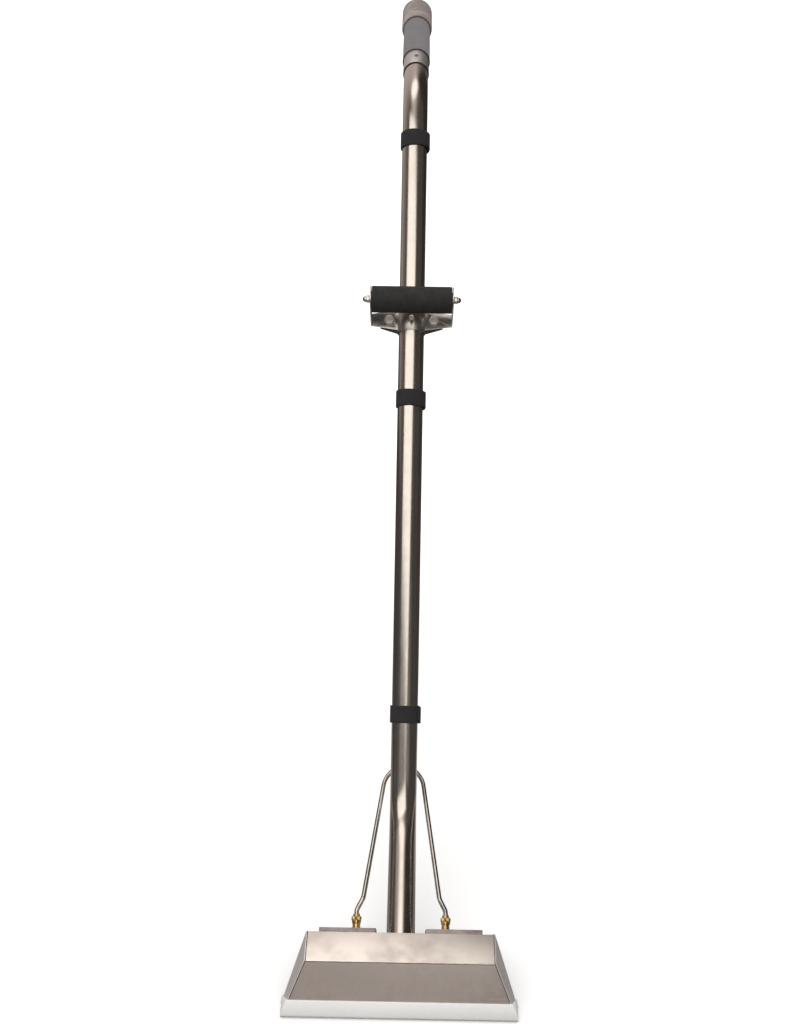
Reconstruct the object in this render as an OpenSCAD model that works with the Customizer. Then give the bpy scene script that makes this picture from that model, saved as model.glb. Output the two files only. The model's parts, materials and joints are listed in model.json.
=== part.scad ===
// Carpet cleaning floor wand with a twelve-inch slot head and two spray jets.
// Frame: the glide's sole is flat on Z = 0 with its centre at the origin,
// -Y is the side away from the operator and +Z is up.

/* [Vacuum tube] */
// Outside diameter of the vacuum tube
tube_d = 38.1; // [34:0.1:46]
// Wall of the vacuum tube
tube_wall = 1.65; // [1:0.05:3]
// Length of the main run between the two bend corners
main_len = 1102; // [950:1:1300]
// Angle of the main run above the floor
main_rise = 60; // [55:1:66]
// Angle turned by each of the two bends
bend_turn = 45; // [40:1:48]
// Radius of both bends along the middle of the tube
bend_r = 100; // [90:1:120]
// Length from the head's top rear edge to the lower corner
lower_len = 209; // [190:1:260]

/* [Head] */
// Width of the head along its top
head_w = 246; // [200:1:300]
// Depth of the head's top panel
top_run = 46; // [42:1:60]
// Length of the sloping front panel down to the glide
front_run = 49; // [42:1:60]
// Slope of the front panel above the floor
front_slope = 60; // [56:1:66]
// Angle by which the end plates flare outwards
flare = 30; // [20:1:32]
// Thickness of the head's sheet metal
sheet = 1.5; // [1:0.1:2]
// Bend radius of the folded sheet
fold_r = 3.2; // [2.5:0.1:5]
// Distance from the outside of the top panel down to the tube's centre line
axis_drop = 22.4; // [21.5:0.1:26]

/* [Glide] */
// Distance by which the glide stands out past the head at each side
glide_margin = 10.5; // [8:0.5:16]
// Depth of the glide's sole from front to back
glide_depth = 38; // [34:1:44]
// Height of the glide's front edge
glide_h = 22; // [20:0.5:26]
// Width of the vacuum slots in the sole
slot_w = 10; // [7:0.5:11]
// Number of vacuum slots
slot_count = 4; // [2:1:6]
// Width of each rib between two slots
rib_w = 8; // [4:1:14]

/* [Spray jets] */
// Distance of each jet from the middle
jet_x = 60; // [56:1:80]
// Distance from the head's rear panel back to each jet
jet_back = 37; // [34:1:44]
// Width of each spray hood
hood_w = 75; // [66:1:84]
// Distance of each hood's inner cheek from the middle
hood_inner = 33; // [28:1:38]
// Outside diameter of the two small solution tubes
feed_d = 6.35; // [5:0.05:8]
// Bore of the small solution tubes
feed_bore = 4.6; // [3:0.1:4.8]

/* [Front handle] */
// Place of the clamp bolts along the main run
handle_at = 741; // [690:1:900]
// Distance from the tube's centre line forward to the roller
roller_out = 60; // [52:1:75]
// Distance from the bolts up to the roller
roller_up = 16; // [8:1:24]
// Outside diameter of the foam roller
roller_d = 38; // [32:0.5:44]
// Length of the foam roller
roller_len = 118; // [104:1:140]
// Diameter of the roller's axle
axle_d = 6; // [5:0.5:8]
// Distance between the two clamp bolts
bolt_span = 67; // [62:1:76]
// Thickness of the clamp plates
clamp_t = 1.5; // [1.2:0.1:2.5]

/* [Rear grip and valve] */
// Distance from the upper corner to the collar
collar_at = 79; // [72:1:90]
// Length of the valve collar
collar_len = 53; // [48:1:64]
// Length of the rear grip
grip_len = 152; // [130:1:170]
// Wall of the rear grip
grip_wall = 2.4; // [1.5:0.1:6]
// Length of the hose cuff
cuff_len = 82; // [70:1:100]
// Outside diameter of the hose cuff
cuff_d = 50.8; // [48:0.1:60]
// Bore of the hose cuff where a vacuum hose plugs in
cuff_bore = 44.5; // [42:0.1:46]
// Travel of the valve stem when the trigger is pulled
stem_travel = 2.5; // [2:0.1:3]
// Diameter of the valve stem
stem_d = 5; // [4:0.1:6]

/* [Hose and straps] */
// Outside diameter of the solution hose
hose_d = 11; // [9:0.5:12]
// Bore of the solution hose
hose_bore = 6.5; // [5:0.1:7]
// Width of each hook-and-loop strap
strap_w = 25; // [20:1:38]
// Thickness of the strap webbing
strap_t = 2.4; // [1.8:0.1:3]
// Places of the lower, middle and top straps along the main run
strap_at = [153, 620, 1024]; // [0:1:1100]

/* [Fits] */
// Radial clearance of a running fit
run_fit = 0.05; // [0.02:0.01:0.1]
// Radial clearance of a fixed fit
seat_fit = 0.15; // [0.1:0.05:0.3]
// Gap left between a soft piece and what carries it
soft_gap = 0.3; // [0.2:0.05:0.4]

/* [Hidden] */
$fn = 96;

STEEL = [0.72, 0.70, 0.67];
DARK_STEEL = [0.34, 0.31, 0.30];
BRASS = [0.80, 0.62, 0.26];
BLACK = [0.13, 0.13, 0.14];
WHITE = [0.93, 0.93, 0.92];
RUBBER = [0.38, 0.36, 0.37];
CUFF = [0.68, 0.64, 0.61];
BIG = 600;
bend_draw = 0.2;
lap = 0.3;

tube_r = tube_d / 2;
end_rise = main_rise - bend_turn;
bend_leg = bend_r * tan(bend_turn / 2);

// Profile of the head, as [y, z] points.
glide_rear = glide_depth / 2;
glide_w = head_w + 2 * (front_run * sin(front_slope - end_rise) * tan(flare) + glide_margin);
sole_front = -8;
front_foot = [-7, glide_h];
nose = front_foot + front_run * [cos(front_slope), sin(front_slope)];
crown = nose + top_run * [cos(end_rise), sin(end_rise)];
rear_foot = front_foot + [15, -7.5];
rear_slope = atan2(crown.y - rear_foot.y, crown.x - rear_foot.x);
lip_z = 7;
glide_screw_d = 3.2;
front_lip_z = glide_h - 7;
rear_lip_z = rear_foot.y - 2.5;
front_lip_y = front_foot.x - (glide_h - front_lip_z) / tan(front_slope);
rear_lip_y = rear_foot.x - (rear_foot.y - rear_lip_z) / tan(rear_slope);
slot_y = (front_lip_y + rear_lip_y) / 2;

// Corners of the tube's centre line, as [y, z] points.
tube_entry = crown + axis_drop * [sin(end_rise), -cos(end_rise)];
low_corner = tube_entry + lower_len * [cos(end_rise), sin(end_rise)];
high_corner = low_corner + main_len * [cos(main_rise), sin(main_rise)];

grip_at = collar_at + collar_len;
grip_d = tube_d + 2 * (soft_gap + grip_wall);
cuff_at = grip_at + grip_len;
cuff_overlap = cuff_len - 27;

// Sizes of the valve, along the upper run and below its axis. The distances below it
// are set out on a tube of this radius, and move out with a wider one.
set_out_r = 19.05;
tube_growth = tube_r - set_out_r;
hose_off = 28 + tube_growth;
stem_at = 110;
pivot_at = 89;
pivot_y = 58;
inlet_at = 70;
valve_front = 60;
valve_rear = 128;
valve_half = 13;
tail_gap = 7.5;
valve_bolt_at = [81, 120];
valve_bolt_y = 24.5;
gallery_y = 36;
trigger_angle = atan(stem_travel / (stem_at - pivot_at));
tee_at = 84;
tee_off = 30 + tube_growth;
port_slope = 40;

// Sizes of the front handle, measured from its clamp bolts.
ear_in = roller_len / 2 + 0.9;
ear_r = roller_d / 2;
saddle_half = 18;
saddle_r = tube_r + seat_fit;
wing_gap = 2;
rear_half = 47;

function unit(v) = v / norm(v);
function perp(d) = [-d.y, d.x];

// Rounds one corner b between a and c with a radius r.
function corner(a, b, c, r, n = 6) =
    let (u = unit(a - b), v = unit(c - b), half = acos(u * v) / 2,
         mid = b + unit(u + v) * r / sin(half),
         p = b + u * r / tan(half) - mid, q = b + v * r / tan(half) - mid,
         a0 = atan2(p.y, p.x), turn = (atan2(q.y, q.x) - a0 + 540) % 360 - 180)
    [for (i = [0 : n]) mid + r * [cos(a0 + turn * i / n), sin(a0 + turn * i / n)]];

// Rounds every inner corner of an open path.
function rounded(p, r) = [
    p[0],
    for (i = [1 : len(p) - 2]) each corner(p[i - 1], p[i], p[i + 1], r),
    p[len(p) - 1]
];

// Normal of a path at point i, long enough to keep a sheet's thickness even.
function mitre(p, i) =
    let (d1 = unit(p[max(i, 1)] - p[max(i, 1) - 1]),
         d2 = unit(p[min(i, len(p) - 2) + 1] - p[min(i, len(p) - 2)]),
         n = unit(perp(d1) + perp(d2)))
    n / (n * perp(d1));

// Outline of a folded sheet whose one face follows the path.
function sheet_outline(p, t) = concat(
    p, [for (i = [len(p) - 1 : -1 : 0]) p[i] + mitre(p, i) * t]);

// Extrudes a [y, z] outline along X, centred.
module profile(outline, width) {
    rotate([90, 0, 90]) linear_extrude(width, center = true) polygon(outline);
}

// Places children on a run of the tube: local Z follows it, local Y is its underside.
module on_run(start, rise, at = 0) {
    translate([0, start.x, start.y]) rotate([rise - 90, 0, 0]) translate([0, 0, at]) children();
}
module on_lower(at = 0) on_run(low_corner, end_rise, at) children();
module on_main(at = 0) on_run(low_corner, main_rise, at) children();
module on_upper(at = 0) on_run(high_corner, end_rise, at) children();
// The valve's frame: the upper run's, moved out with a wider tube.
module on_valve(at = 0) on_upper(at) translate([0, tube_growth, 0]) children();

// A rod along local Z.
module rod(d, from, to) translate([0, 0, from]) cylinder(d = d, h = to - from);

// A rod along local Y, as used for stems that cross a run.
module drop(d, from, to, sides = 96) {
    translate([0, from, 0]) rotate([-90, 0, 0]) cylinder(d = d, h = to - from, $fn = sides);
}

// A rod along X.
module cross_rod(d, from, to, sides = 96) {
    translate([from, 0, 0]) rotate([0, 90, 0]) cylinder(d = d, h = to - from, $fn = sides);
}

// A bend that starts along Z and turns towards -Y. It is a hair off the size of the
// straight runs, as a drawn bend is, so that each meets the next in a clean edge.
module bend(d) {
    translate([0, -bend_r, 0]) rotate([90, 0, 90])
        rotate_extrude(angle = bend_turn) translate([bend_r, 0]) circle(d = d);
}

// The whole S-shaped run of the tube, solid, at one diameter.
module tube_run(d, draw, over) {
    straight = bend_leg - lap;
    on_lower() rod(d, -lower_len - 50 - over, -straight);
    on_lower(-bend_leg) bend(d - draw);
    on_main() rod(d, straight, main_len - straight);
    on_main(main_len - bend_leg) mirror([0, 1, 0]) bend(d - draw);
    on_upper() rod(d, straight, cuff_at + cuff_overlap + over);
}

// Frame on the rear panel's outer face: local Y runs up it, local Z points into the head.
module on_rear_panel() {
    translate([0, crown.x, crown.y]) rotate([rear_slope, 0, 0]) children();
}

module vacuum_tube() {
    color(STEEL) difference() {
        tube_run(tube_d, bend_draw, 0);
        tube_run(tube_d - 2 * tube_wall, -bend_draw, 1);
        on_rear_panel() translate([-100, -150, 0]) cube([200, 300, 150]);
    }
}

// Frame on the head's top panel: origin at the nose, local Z is its normal.
module on_top_panel() {
    translate([0, nose.x, nose.y]) rotate([end_rise, 0, 0]) children();
}

// Everything outside one flared side plane, pushed out by a distance.
module beyond_side(side, out = 0) {
    on_top_panel() translate([side * head_w / 2, 0, 0]) rotate([0, -side * flare, 0])
        translate([side > 0 ? out : -BIG - out, -BIG / 2, -BIG / 2]) cube(BIG);
}

module between_sides(out = 0) {
    difference() {
        children();
        beyond_side(1, out);
        beyond_side(-1, out);
    }
}

front_path = rounded([
    crown, nose, [front_lip_y, front_lip_z], [front_lip_y, lip_z]
], fold_r);
rear_path = rounded([crown, [rear_lip_y, rear_lip_z], [rear_lip_y, lip_z]], fold_r);

module head_front_panel() {
    color(STEEL) difference() {
        between_sides() profile(sheet_outline(front_path, sheet), 2 * BIG);
        on_rear_panel() translate([-BIG / 2, -BIG / 2, -BIG]) cube(BIG);
    }
}

module head_rear_panel() {
    color(STEEL) difference() {
        between_sides() profile(sheet_outline(rear_path, -sheet), 2 * BIG);
        on_lower() rod(tube_d - 2 * tube_wall, -lower_len - 90, -lower_len + 60);
        glide_screw_places() translate([0, 0, -4]) cylinder(d = glide_screw_d + 2 * run_fit, h = 8);
        on_top_panel() translate([-BIG / 2, -BIG / 2, -sheet]) cube(BIG);
    }
}

// Outer outline of the head's cross-section down to the lips.
head_outline = concat(front_path, [for (i = [len(rear_path) - 1 : -1 : 1]) rear_path[i]]);

module head_end_plate(side) {
    color(STEEL) difference() {
        profile(head_outline, 2 * BIG);
        beyond_side(side, sheet);
        on_top_panel() translate([side * head_w / 2, 0, 0]) rotate([0, -side * flare, 0])
            translate([side > 0 ? -2 * BIG : 0, -BIG, -BIG]) cube(2 * BIG);
    }
}
module head_end_plate_left() head_end_plate(-1);
module head_end_plate_right() head_end_plate(1);

// The glide's own cross-section, with rounded edges at the sole.
front_top = front_foot - [2.8, 0];
rear_top = rear_foot + [5, -2.6];
glide_outline = concat(
    [front_foot - [0, 0.4]],
    [front_top + [0.6, 0], front_top - [0.3, 0.7]],
    corner(front_top, [-glide_rear - 0.4, 1.2], [sole_front, 0], 3.4),
    [[sole_front, 0]],
    corner([sole_front, 0], [glide_rear, 0], rear_top, 3.6),
    corner([glide_rear, 0], rear_top, rear_foot, 2),
    [rear_foot - [0, 0.4]]);

module glide() {
    slot_span = glide_w - 2 * 21;
    slot_len = (slot_span - (slot_count - 1) * rib_w) / slot_count;
    color(WHITE) difference() {
        between_sides(2 * sheet + 0.4)
            profile(glide_outline, glide_w);
        between_sides(sheet + seat_fit) profile(concat(
            [for (p = front_path) p - [seat_fit, 0]],
            [[front_lip_y - seat_fit, lip_z - 0.3], [rear_lip_y + seat_fit, lip_z - 0.3]],
            [for (i = [len(rear_path) - 1 : -1 : 1]) rear_path[i] + [seat_fit, 0]]), glide_w);
        for (i = [0 : slot_count - 1])
            translate([-slot_span / 2 + i * (slot_len + rib_w), slot_y - slot_w / 2, -1])
                cube([slot_len, slot_w, lip_z + 1]);
        glide_screw_places() translate([0, 0, 4]) cylinder(d = 7.4, h = 20);
        glide_screw_places() translate([0, 0, -6])
            cylinder(d = glide_screw_d + 2 * run_fit, h = 20);
    }
}

// Screws enter the glide's rear wall level; local Z points back out of the wall.
module glide_screw_places() {
    for (x = [-112, -38, 38, 112])
        translate([x, rear_lip_y, lip_z + 3]) rotate([-90, 0, 0]) children();
}

module glide_screws() {
    color(DARK_STEEL) glide_screw_places() {
        translate([0, 0, -3]) cylinder(d = glide_screw_d, h = 7.5);
        difference() {
            translate([0, 0, 4.3]) cylinder(d1 = 6.6, d2 = 5.2, h = 2.4);
            translate([-0.5, -5, 5.7]) cube([1, 10, 3]);
        }
    }
}

// Frame on a jet: local Z is the spray axis pointing up, local Y points back.
jet_lean = 90 - rear_slope;
jet_rise = 5.2;
jet_pos = crown + jet_back * [cos(jet_lean), -sin(jet_lean)]
    + jet_rise * [sin(jet_lean), cos(jet_lean)];
module on_jet(x) translate([x, jet_pos.x, jet_pos.y]) rotate([-jet_lean, 0, 0]) children();

hood_rear = 22;
hood_drop = 28;
module spray_hood(side) {
    far = hood_inner + hood_w;
    lo = side > 0 ? hood_inner : -far;
    color(DARK_STEEL) on_jet(0) difference() {
        union() {
            translate([lo, -jet_back, -sheet]) cube([hood_w, jet_back + hood_rear, sheet]);
            translate([lo, -jet_back, -14]) cube([hood_w, sheet, 14]);
            translate([lo, hood_rear - sheet, -hood_drop]) cube([hood_w, sheet, hood_drop]);
            for (x = [lo, lo + hood_w - sheet]) translate([x, 0, 0]) rotate([90, 0, 90])
                linear_extrude(sheet) polygon([[-jet_back, 0], [-jet_back, -36],
                    [-jet_back + 10, -40], [hood_rear, -hood_drop], [hood_rear, 0]]);
        }
        translate([side * jet_x, 0, -5]) cylinder(d = 10.4, h = 10);
    }
}
module spray_hood_left() spray_hood(-1);
module spray_hood_right() spray_hood(1);

// A jet body: flange and hexagon above the hood, threaded shank below it.
module jet_body(side) {
    color(BRASS) on_jet(side * jet_x) difference() {
        union() {
            cylinder(d = 13, h = 1);
            translate([0, 0, 1]) cylinder(d = 11.4, h = 6, $fn = 6);
            translate([0, 0, 7]) cylinder(d = 8.6, h = 8);
            translate([0, 0, -15]) cylinder(d = 10, h = 15);
            translate([0, 0, -22]) cylinder(d = 8.6, h = 7);
        }
        translate([0, 0, 8]) cylinder(r = feed_d / 2 + seat_fit, h = 8);
        translate([0, 0, -23]) cylinder(d = 6, h = 23);
        translate([0, 0, -1]) cylinder(d = 3.6, h = 10);
    }
}
module jet_body_left() jet_body(-1);
module jet_body_right() jet_body(1);

module both_jets() for (x = [-jet_x, jet_x]) on_jet(x) children();

module jet_locknuts() {
    color(BRASS) both_jets() difference() {
        translate([0, 0, -sheet - 4.5]) cylinder(d = 17, h = 4.5, $fn = 6);
        translate([0, 0, -sheet - 5]) cylinder(r = 5 + run_fit, h = 6);
    }
}

module nozzle_tip(side) {
    color(STEEL) on_jet(side * jet_x) difference() {
        union() {
            translate([0, 0, -24.8]) cylinder(d = 8.6, h = 2.6);
            translate([0, 0, -28.5]) cylinder(d = 6.4, h = 3.7);
        }
        translate([0, 0, -27.4]) cylinder(d = 3, h = 6);
        translate([0, 0, -29]) cylinder(d = 1.2, h = 4);
        translate([-4, -0.5, -30]) cube([8, 1, 2.4]);
    }
}
module nozzle_tip_left() nozzle_tip(-1);
module nozzle_tip_right() nozzle_tip(1);

module nozzle_caps() {
    color(BRASS) both_jets() difference() {
        translate([0, 0, -26.8]) cylinder(d = 13, h = 10.8, $fn = 6);
        translate([0, 0, -25.1]) cylinder(r = 4.3 + run_fit, h = 10);
        translate([0, 0, -27]) cylinder(d = 6.9, h = 3);
    }
}

module jet_strainers() {
    color(STEEL) both_jets() difference() {
        translate([0, 0, -21.8]) cylinder(d = 5.7, h = 18);
        translate([0, 0, -22]) cylinder(d = 4.3, h = 16.4);
        for (z = [-18, -14.5, -11, -7.5], a = [0, 90])
            translate([0, 0, z]) rotate([0, 0, a]) cross_rod(1.4, -4, 4);
    }
}

module jet_tube_nuts() {
    color(BRASS) both_jets() difference() {
        union() {
            translate([0, 0, 7.4]) cylinder(d = 13.3, h = 9, $fn = 6);
            translate([0, 0, 16.4]) cylinder(d = 9.4, h = 3.4);
        }
        translate([0, 0, 7]) cylinder(r = 4.3 + run_fit, h = 8.3);
        translate([0, 0, 15]) cylinder(d = 8.7, h = 2.2);
        translate([0, 0, 7]) cylinder(r = feed_d / 2 + seat_fit, h = 20);
    }
}

module jet_ferrules() {
    color(BRASS) both_jets() difference() {
        translate([0, 0, 15.2]) cylinder(d = 8.4, h = 1.8);
        translate([0, 0, 14]) cylinder(r = feed_d / 2 + run_fit, h = 5);
    }
}

// A round bar bent through a list of points, with a bend radius for each.
module bent_bar(p, bends, d, draw, over = 0) {
    last = len(p) - 1;
    legs = [for (i = [0 : last]) i == 0 || i == last ? 0 :
        bends[i] * tan(acos(unit(p[i] - p[i - 1]) * unit(p[i + 1] - p[i])) / 2)];
    for (i = [0 : last - 1]) {
        u = unit(p[i + 1] - p[i]);
        from = p[i] + u * (legs[i] - (i == 0 ? over : lap));
        to = p[i + 1] - u * (legs[i + 1] - (i == last - 1 ? over : lap));
        translate(from) rotate([0, acos(u.z), atan2(u.y, u.x)]) cylinder(d = d, h = norm(to - from));
    }
    for (i = [1 : last - 1]) {
        r = bends[i];
        u = unit(p[i] - p[i - 1]);
        v = unit(p[i + 1] - p[i]);
        z = unit(cross(u, v));
        x = cross(u, z);
        c = p[i] - u * legs[i] - x * r;
        multmatrix([[x.x, u.x, z.x, c.x], [x.y, u.y, z.y, c.y], [x.z, u.z, z.z, c.z], [0, 0, 0, 1]])
            rotate_extrude(angle = acos(u * v)) translate([r, 0]) circle(d = d - draw);
    }
}

// World points of a place on a jet and on the main run.
function jet_point(x, y, z) = [x, jet_pos.x + y * cos(jet_lean) + z * sin(jet_lean),
    jet_pos.y - y * sin(jet_lean) + z * cos(jet_lean)];
function main_point(x, y, s) = [x, low_corner.x + s * cos(main_rise) + y * sin(main_rise),
    low_corner.y + s * sin(main_rise) - y * cos(main_rise)];
function upper_point(x, y, s) = [x, high_corner.x + s * cos(end_rise) + y * sin(end_rise),
    high_corner.y + s * sin(end_rise) - y * cos(end_rise)];

function port_point(d) = main_point(d * cos(port_slope), tee_off, tee_at - d * sin(port_slope));

feed_path = [
    jet_point(jet_x, 0, 8.3), jet_point(jet_x, 0, 25), jet_point(jet_x - 8.5, 0, 41),
    port_point(35.6), port_point(12.1)
];
feed_bends = [0, 12, 12, 28, 0];

module solution_tube() {
    color(STEEL) difference() {
        bent_bar(feed_path, feed_bends, feed_d, bend_draw);
        bent_bar(feed_path, feed_bends, feed_bore, -bend_draw, 1);
    }
}
module solution_tube_left() mirror([1, 0, 0]) solution_tube();
module solution_tube_right() solution_tube();

// The tee stands behind the main run, with a port sloping down on each side and one upwards.
module on_tee() on_main(tee_at) translate([0, tee_off, 0]) children();
module on_ports() on_tee() for (side = [0, 1]) mirror([side, 0, 0]) rotate([0, port_slope, 0]) children();

module solution_tee() {
    color(BRASS) difference() {
        union() {
            on_tee() translate([-6, -7, -7.5]) cube([12, 14, 18.5]);
            on_ports() cross_rod(8.6, 0, 14.6);
        }
        on_ports() {
            cross_rod(feed_bore, -1, 16);
            cross_rod(feed_d + 2 * seat_fit, 11.6, 16);
        }
        on_tee() {
            rod(feed_bore, 0, 12);
            rod(8 + 2 * seat_fit, 6, 12);
            translate([0, 0, -5]) drop(3.3, -8, -2);
        }
    }
}

module tee_nuts() {
    color(BRASS) on_ports() difference() {
        union() {
            cross_rod(12.7, 9.6, 17.2, 6);
            cross_rod(9, 17.2, 19.4);
        }
        cross_rod(8.6 + 2 * run_fit, 9, 14.9);
        cross_rod(8.4, 14.6, 16.6);
        cross_rod(feed_d + 2 * seat_fit, 9, 21);
    }
}

module tee_ferrules() {
    color(BRASS) on_ports() difference() {
        cross_rod(8.1, 14.8, 16.4);
        cross_rod(feed_d + 2 * run_fit, 14.6, 16.6);
    }
}

// A small channel welded under the tube, which the tee is screwed to.
module tee_bracket() {
    color(STEEL) on_main(tee_at - 5) difference() {
        translate([-4.5, 0, -5]) cube([9, tee_off - 7, 10]);
        rod(tube_d + 0.1, -20, 20);
        drop(2.6, 10, tee_off);
    }
}

module tee_screw() {
    color(DARK_STEEL) on_main(tee_at - 5) {
        drop(2.4, tee_off - 10.6, tee_off - 2.2);
        drop(3.1, tee_off - 6.8, tee_off - 2.2);
    }
}

// Hose fittings: a shank that enters the port, a hexagon and a barbed tail.
module hose_fitting() {
    difference() {
        union() {
            rod(8, -4.6, 0);
            translate([0, 0, 0]) cylinder(d = 12.7, h = 5, $fn = 6);
            rod(5, 5, 18);
            for (z = [8.5, 11.5, 14.5]) translate([0, 0, z])
                cylinder(d1 = 5, d2 = hose_bore - 2 * run_fit, h = 2.4);
        }
        rod(3.4, -6, 20);
    }
}

module hose_fitting_lower() color(BRASS) on_main(tee_at + 11) translate([0, tee_off, 0]) hose_fitting();
module hose_fitting_upper() {
    color(BRASS) on_upper(valve_front) translate([0, hose_off, 0]) rotate([180, 0, 0]) hose_fitting();
}

// The hose lies under the main run, held by the straps, and follows the upper bend.
hose_corner = let (a = [sin(main_rise), -cos(main_rise)], b = [sin(end_rise), -cos(end_rise)])
    high_corner + (a + b) * hose_off / (1 + a * b);
hose_path = [
    main_point(0, tee_off, tee_at + 11 + tail_gap), main_point(0, tee_off, tee_at + 33.4),
    main_point(0, hose_off, tee_at + 53), [0, hose_corner.x, hose_corner.y],
    upper_point(0, hose_off, valve_front - tail_gap)
];
hose_bends = [for (p = hose_path) bend_r - hose_off];

module solution_hose() {
    color(BLACK) difference() {
        bent_bar(hose_path, hose_bends, hose_d, bend_draw);
        bent_bar(hose_path, hose_bends, hose_bore, -bend_draw, 1);
    }
}

module hose_crimps() {
    color(STEEL) {
        on_main(tee_at + 11 + tail_gap) translate([0, tee_off, 0]) crimp();
        on_upper(valve_front - tail_gap) translate([0, hose_off, 0]) rotate([180, 0, 0]) crimp();
    }
}
module crimp() {
    difference() {
        rod(hose_d + 2.6, -2, 11);
        rod(hose_d + 0.4, 0, 12);
        rod(7, -3, 1);
    }
}

// Outline of a band round the tube and the hose under it, at a distance from both.
function band(out) =
    let (r1 = tube_r + out, r2 = hose_d / 2 + out, lean = asin((r1 - r2) / hose_off))
    concat(
        [for (a = [lean : (-180 - 2 * lean) / 48 : -180 - lean]) r1 * [cos(a), sin(a)]],
        [for (a = [180 - lean : (2 * lean - 180) / 20 : lean])
            [0, hose_off] + r2 * [cos(a), sin(a)]]);

// A strap: one band of webbing with its hooked end laid over it on the right.
module strap(at) {
    tail_r = tube_r + soft_gap + strap_t;
    color(BLACK) on_main(at - strap_w / 2) {
        linear_extrude(strap_w) difference() {
            polygon(band(soft_gap + strap_t));
            polygon(band(soft_gap));
        }
        translate([0, 0, 0.8]) linear_extrude(strap_w - 1.6) polygon(concat(
            [for (a = [-48 : 6 : 12]) (tail_r + 1.9) * [cos(a), sin(a)]],
            [for (a = [12 : -6 : -48]) (tail_r - 0.2) * [cos(a), sin(a)]]));
    }
}
module strap_lower() strap(strap_at[0]);
module strap_middle() strap(strap_at[1]);
module strap_top() strap(strap_at[2]);

module on_handle() on_main(handle_at) children();

// Half of the clamp as a sheet: a saddle round the tube with a wing on each side.
module clamp_half(half_len, wing_end, wing_in, wing_out) {
    difference() {
        union() {
            translate([0, 0, -half_len]) cylinder(r = saddle_r + clamp_t, h = 2 * half_len);
            translate([0, -wing_gap, 0]) rotate([90, 0, 0]) linear_extrude(clamp_t)
                polygon([[-wing_end, -wing_out], [-tube_r, -wing_in], [tube_r, -wing_in],
                    [wing_end, -wing_out], [wing_end, wing_out], [tube_r, wing_in],
                    [-tube_r, wing_in], [-wing_end, wing_out]]);
        }
        translate([0, 0, -half_len - 1]) cylinder(r = saddle_r, h = 2 * half_len + 2);
        translate([-50, -wing_gap, -half_len - 1]) cube([100, 60, 2 * half_len + 2]);
        for (x = [-bolt_span / 2, bolt_span / 2]) translate([x, 0, 0]) drop(8.4, -20, 20);
    }
}

module handle_front_clamp() {
    tip = [-roller_out, roller_up];
    color(STEEL) on_handle() difference() {
        union() {
            clamp_half(saddle_half, ear_in + lap, saddle_half - 2.5, 9.5);
            for (side = [-1, 1]) translate([side > 0 ? ear_in : -ear_in - clamp_t, 0, 0])
                rotate([90, 0, 90]) linear_extrude(clamp_t) union() {
                    polygon([[-wing_gap, -9.5], [tip.x, tip.y - ear_r],
                        [tip.x, tip.y + ear_r], [-wing_gap, 9.5]]);
                    translate(tip) circle(r = ear_r);
                }
        }
        translate([0, -roller_out, roller_up]) cross_rod(axle_d + 2 * run_fit, -90, 90);
        drop(5 + 2 * run_fit, -40, 0);
    }
}

module handle_rear_clamp() {
    color(BLACK) on_handle() difference() {
        mirror([0, 1, 0]) clamp_half(saddle_half + 3, rear_half, saddle_half + 2.5, 12);
    }
}

module at_clamp_bolts() {
    on_handle() for (x = [-bolt_span / 2, bolt_span / 2]) translate([x, 0, 0]) children();
}

module clamp_bolts() {
    front = -wing_gap - clamp_t;
    color(STEEL) at_clamp_bolts() {
        drop(15, front - 5.3, front, 6);
        drop(8, front - 0.1, 16);
    }
}

module clamp_washers() {
    rear = wing_gap + clamp_t;
    color(STEEL) at_clamp_bolts() difference() {
        drop(16, rear, rear + 1.6);
        drop(8 + 4 * run_fit, rear - 1, rear + 3);
    }
}

module clamp_nuts() {
    rear = wing_gap + clamp_t + 1.6;
    color(STEEL) at_clamp_bolts() difference() {
        drop(15, rear, rear + 6.4, 6);
        drop(8 + 2 * run_fit, rear - 1, rear + 8);
    }
}

module saddle_rivet() {
    top = -saddle_r - clamp_t;
    color(STEEL) on_handle() {
        drop(8, top - 0.7, top);
        translate([0, top - 0.7, 0]) rotate([90, 0, 0]) cylinder(d1 = 8, d2 = 4.6, h = 1);
        drop(5, top - 0.1, -saddle_r - 0.05);
    }
}

module on_roller() on_handle() translate([0, -roller_out, roller_up]) children();
ear_out = ear_in + clamp_t;

module roller_axle() color(STEEL) on_roller() cross_rod(axle_d, -ear_out - 7.5, ear_out + 7.5);

module axle_washers() {
    color(STEEL) on_roller() for (side = [0, 1]) mirror([side, 0, 0]) difference() {
        cross_rod(12, ear_out, ear_out + 1);
        cross_rod(axle_d + 2 * run_fit, ear_out - 1, ear_out + 2);
    }
}

module axle_acorn_nuts() {
    color(STEEL) on_roller() for (side = [0, 1]) mirror([side, 0, 0]) difference() {
        union() {
            cross_rod(11.5, ear_out + 1, ear_out + 5.4, 6);
            cross_rod(9, ear_out + 5.4, ear_out + 6.6);
            intersection() {
                translate([ear_out + 6.6, 0, 0]) sphere(d = 9);
                cross_rod(10, ear_out + 6.5, ear_out + 20);
            }
        }
        cross_rod(axle_d + 2 * run_fit, ear_out, ear_out + 7.6);
    }
}

core_d = 25;
bush_d = 16;
module roller_core() {
    color([0.25, 0.25, 0.26]) on_roller() difference() {
        cross_rod(core_d, -roller_len / 2, roller_len / 2);
        cross_rod(bush_d - 3, -80, 80);
        cross_rod(bush_d, -80, -roller_len / 2 + 12);
        cross_rod(bush_d, roller_len / 2 - 12, 80);
    }
}

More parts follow.
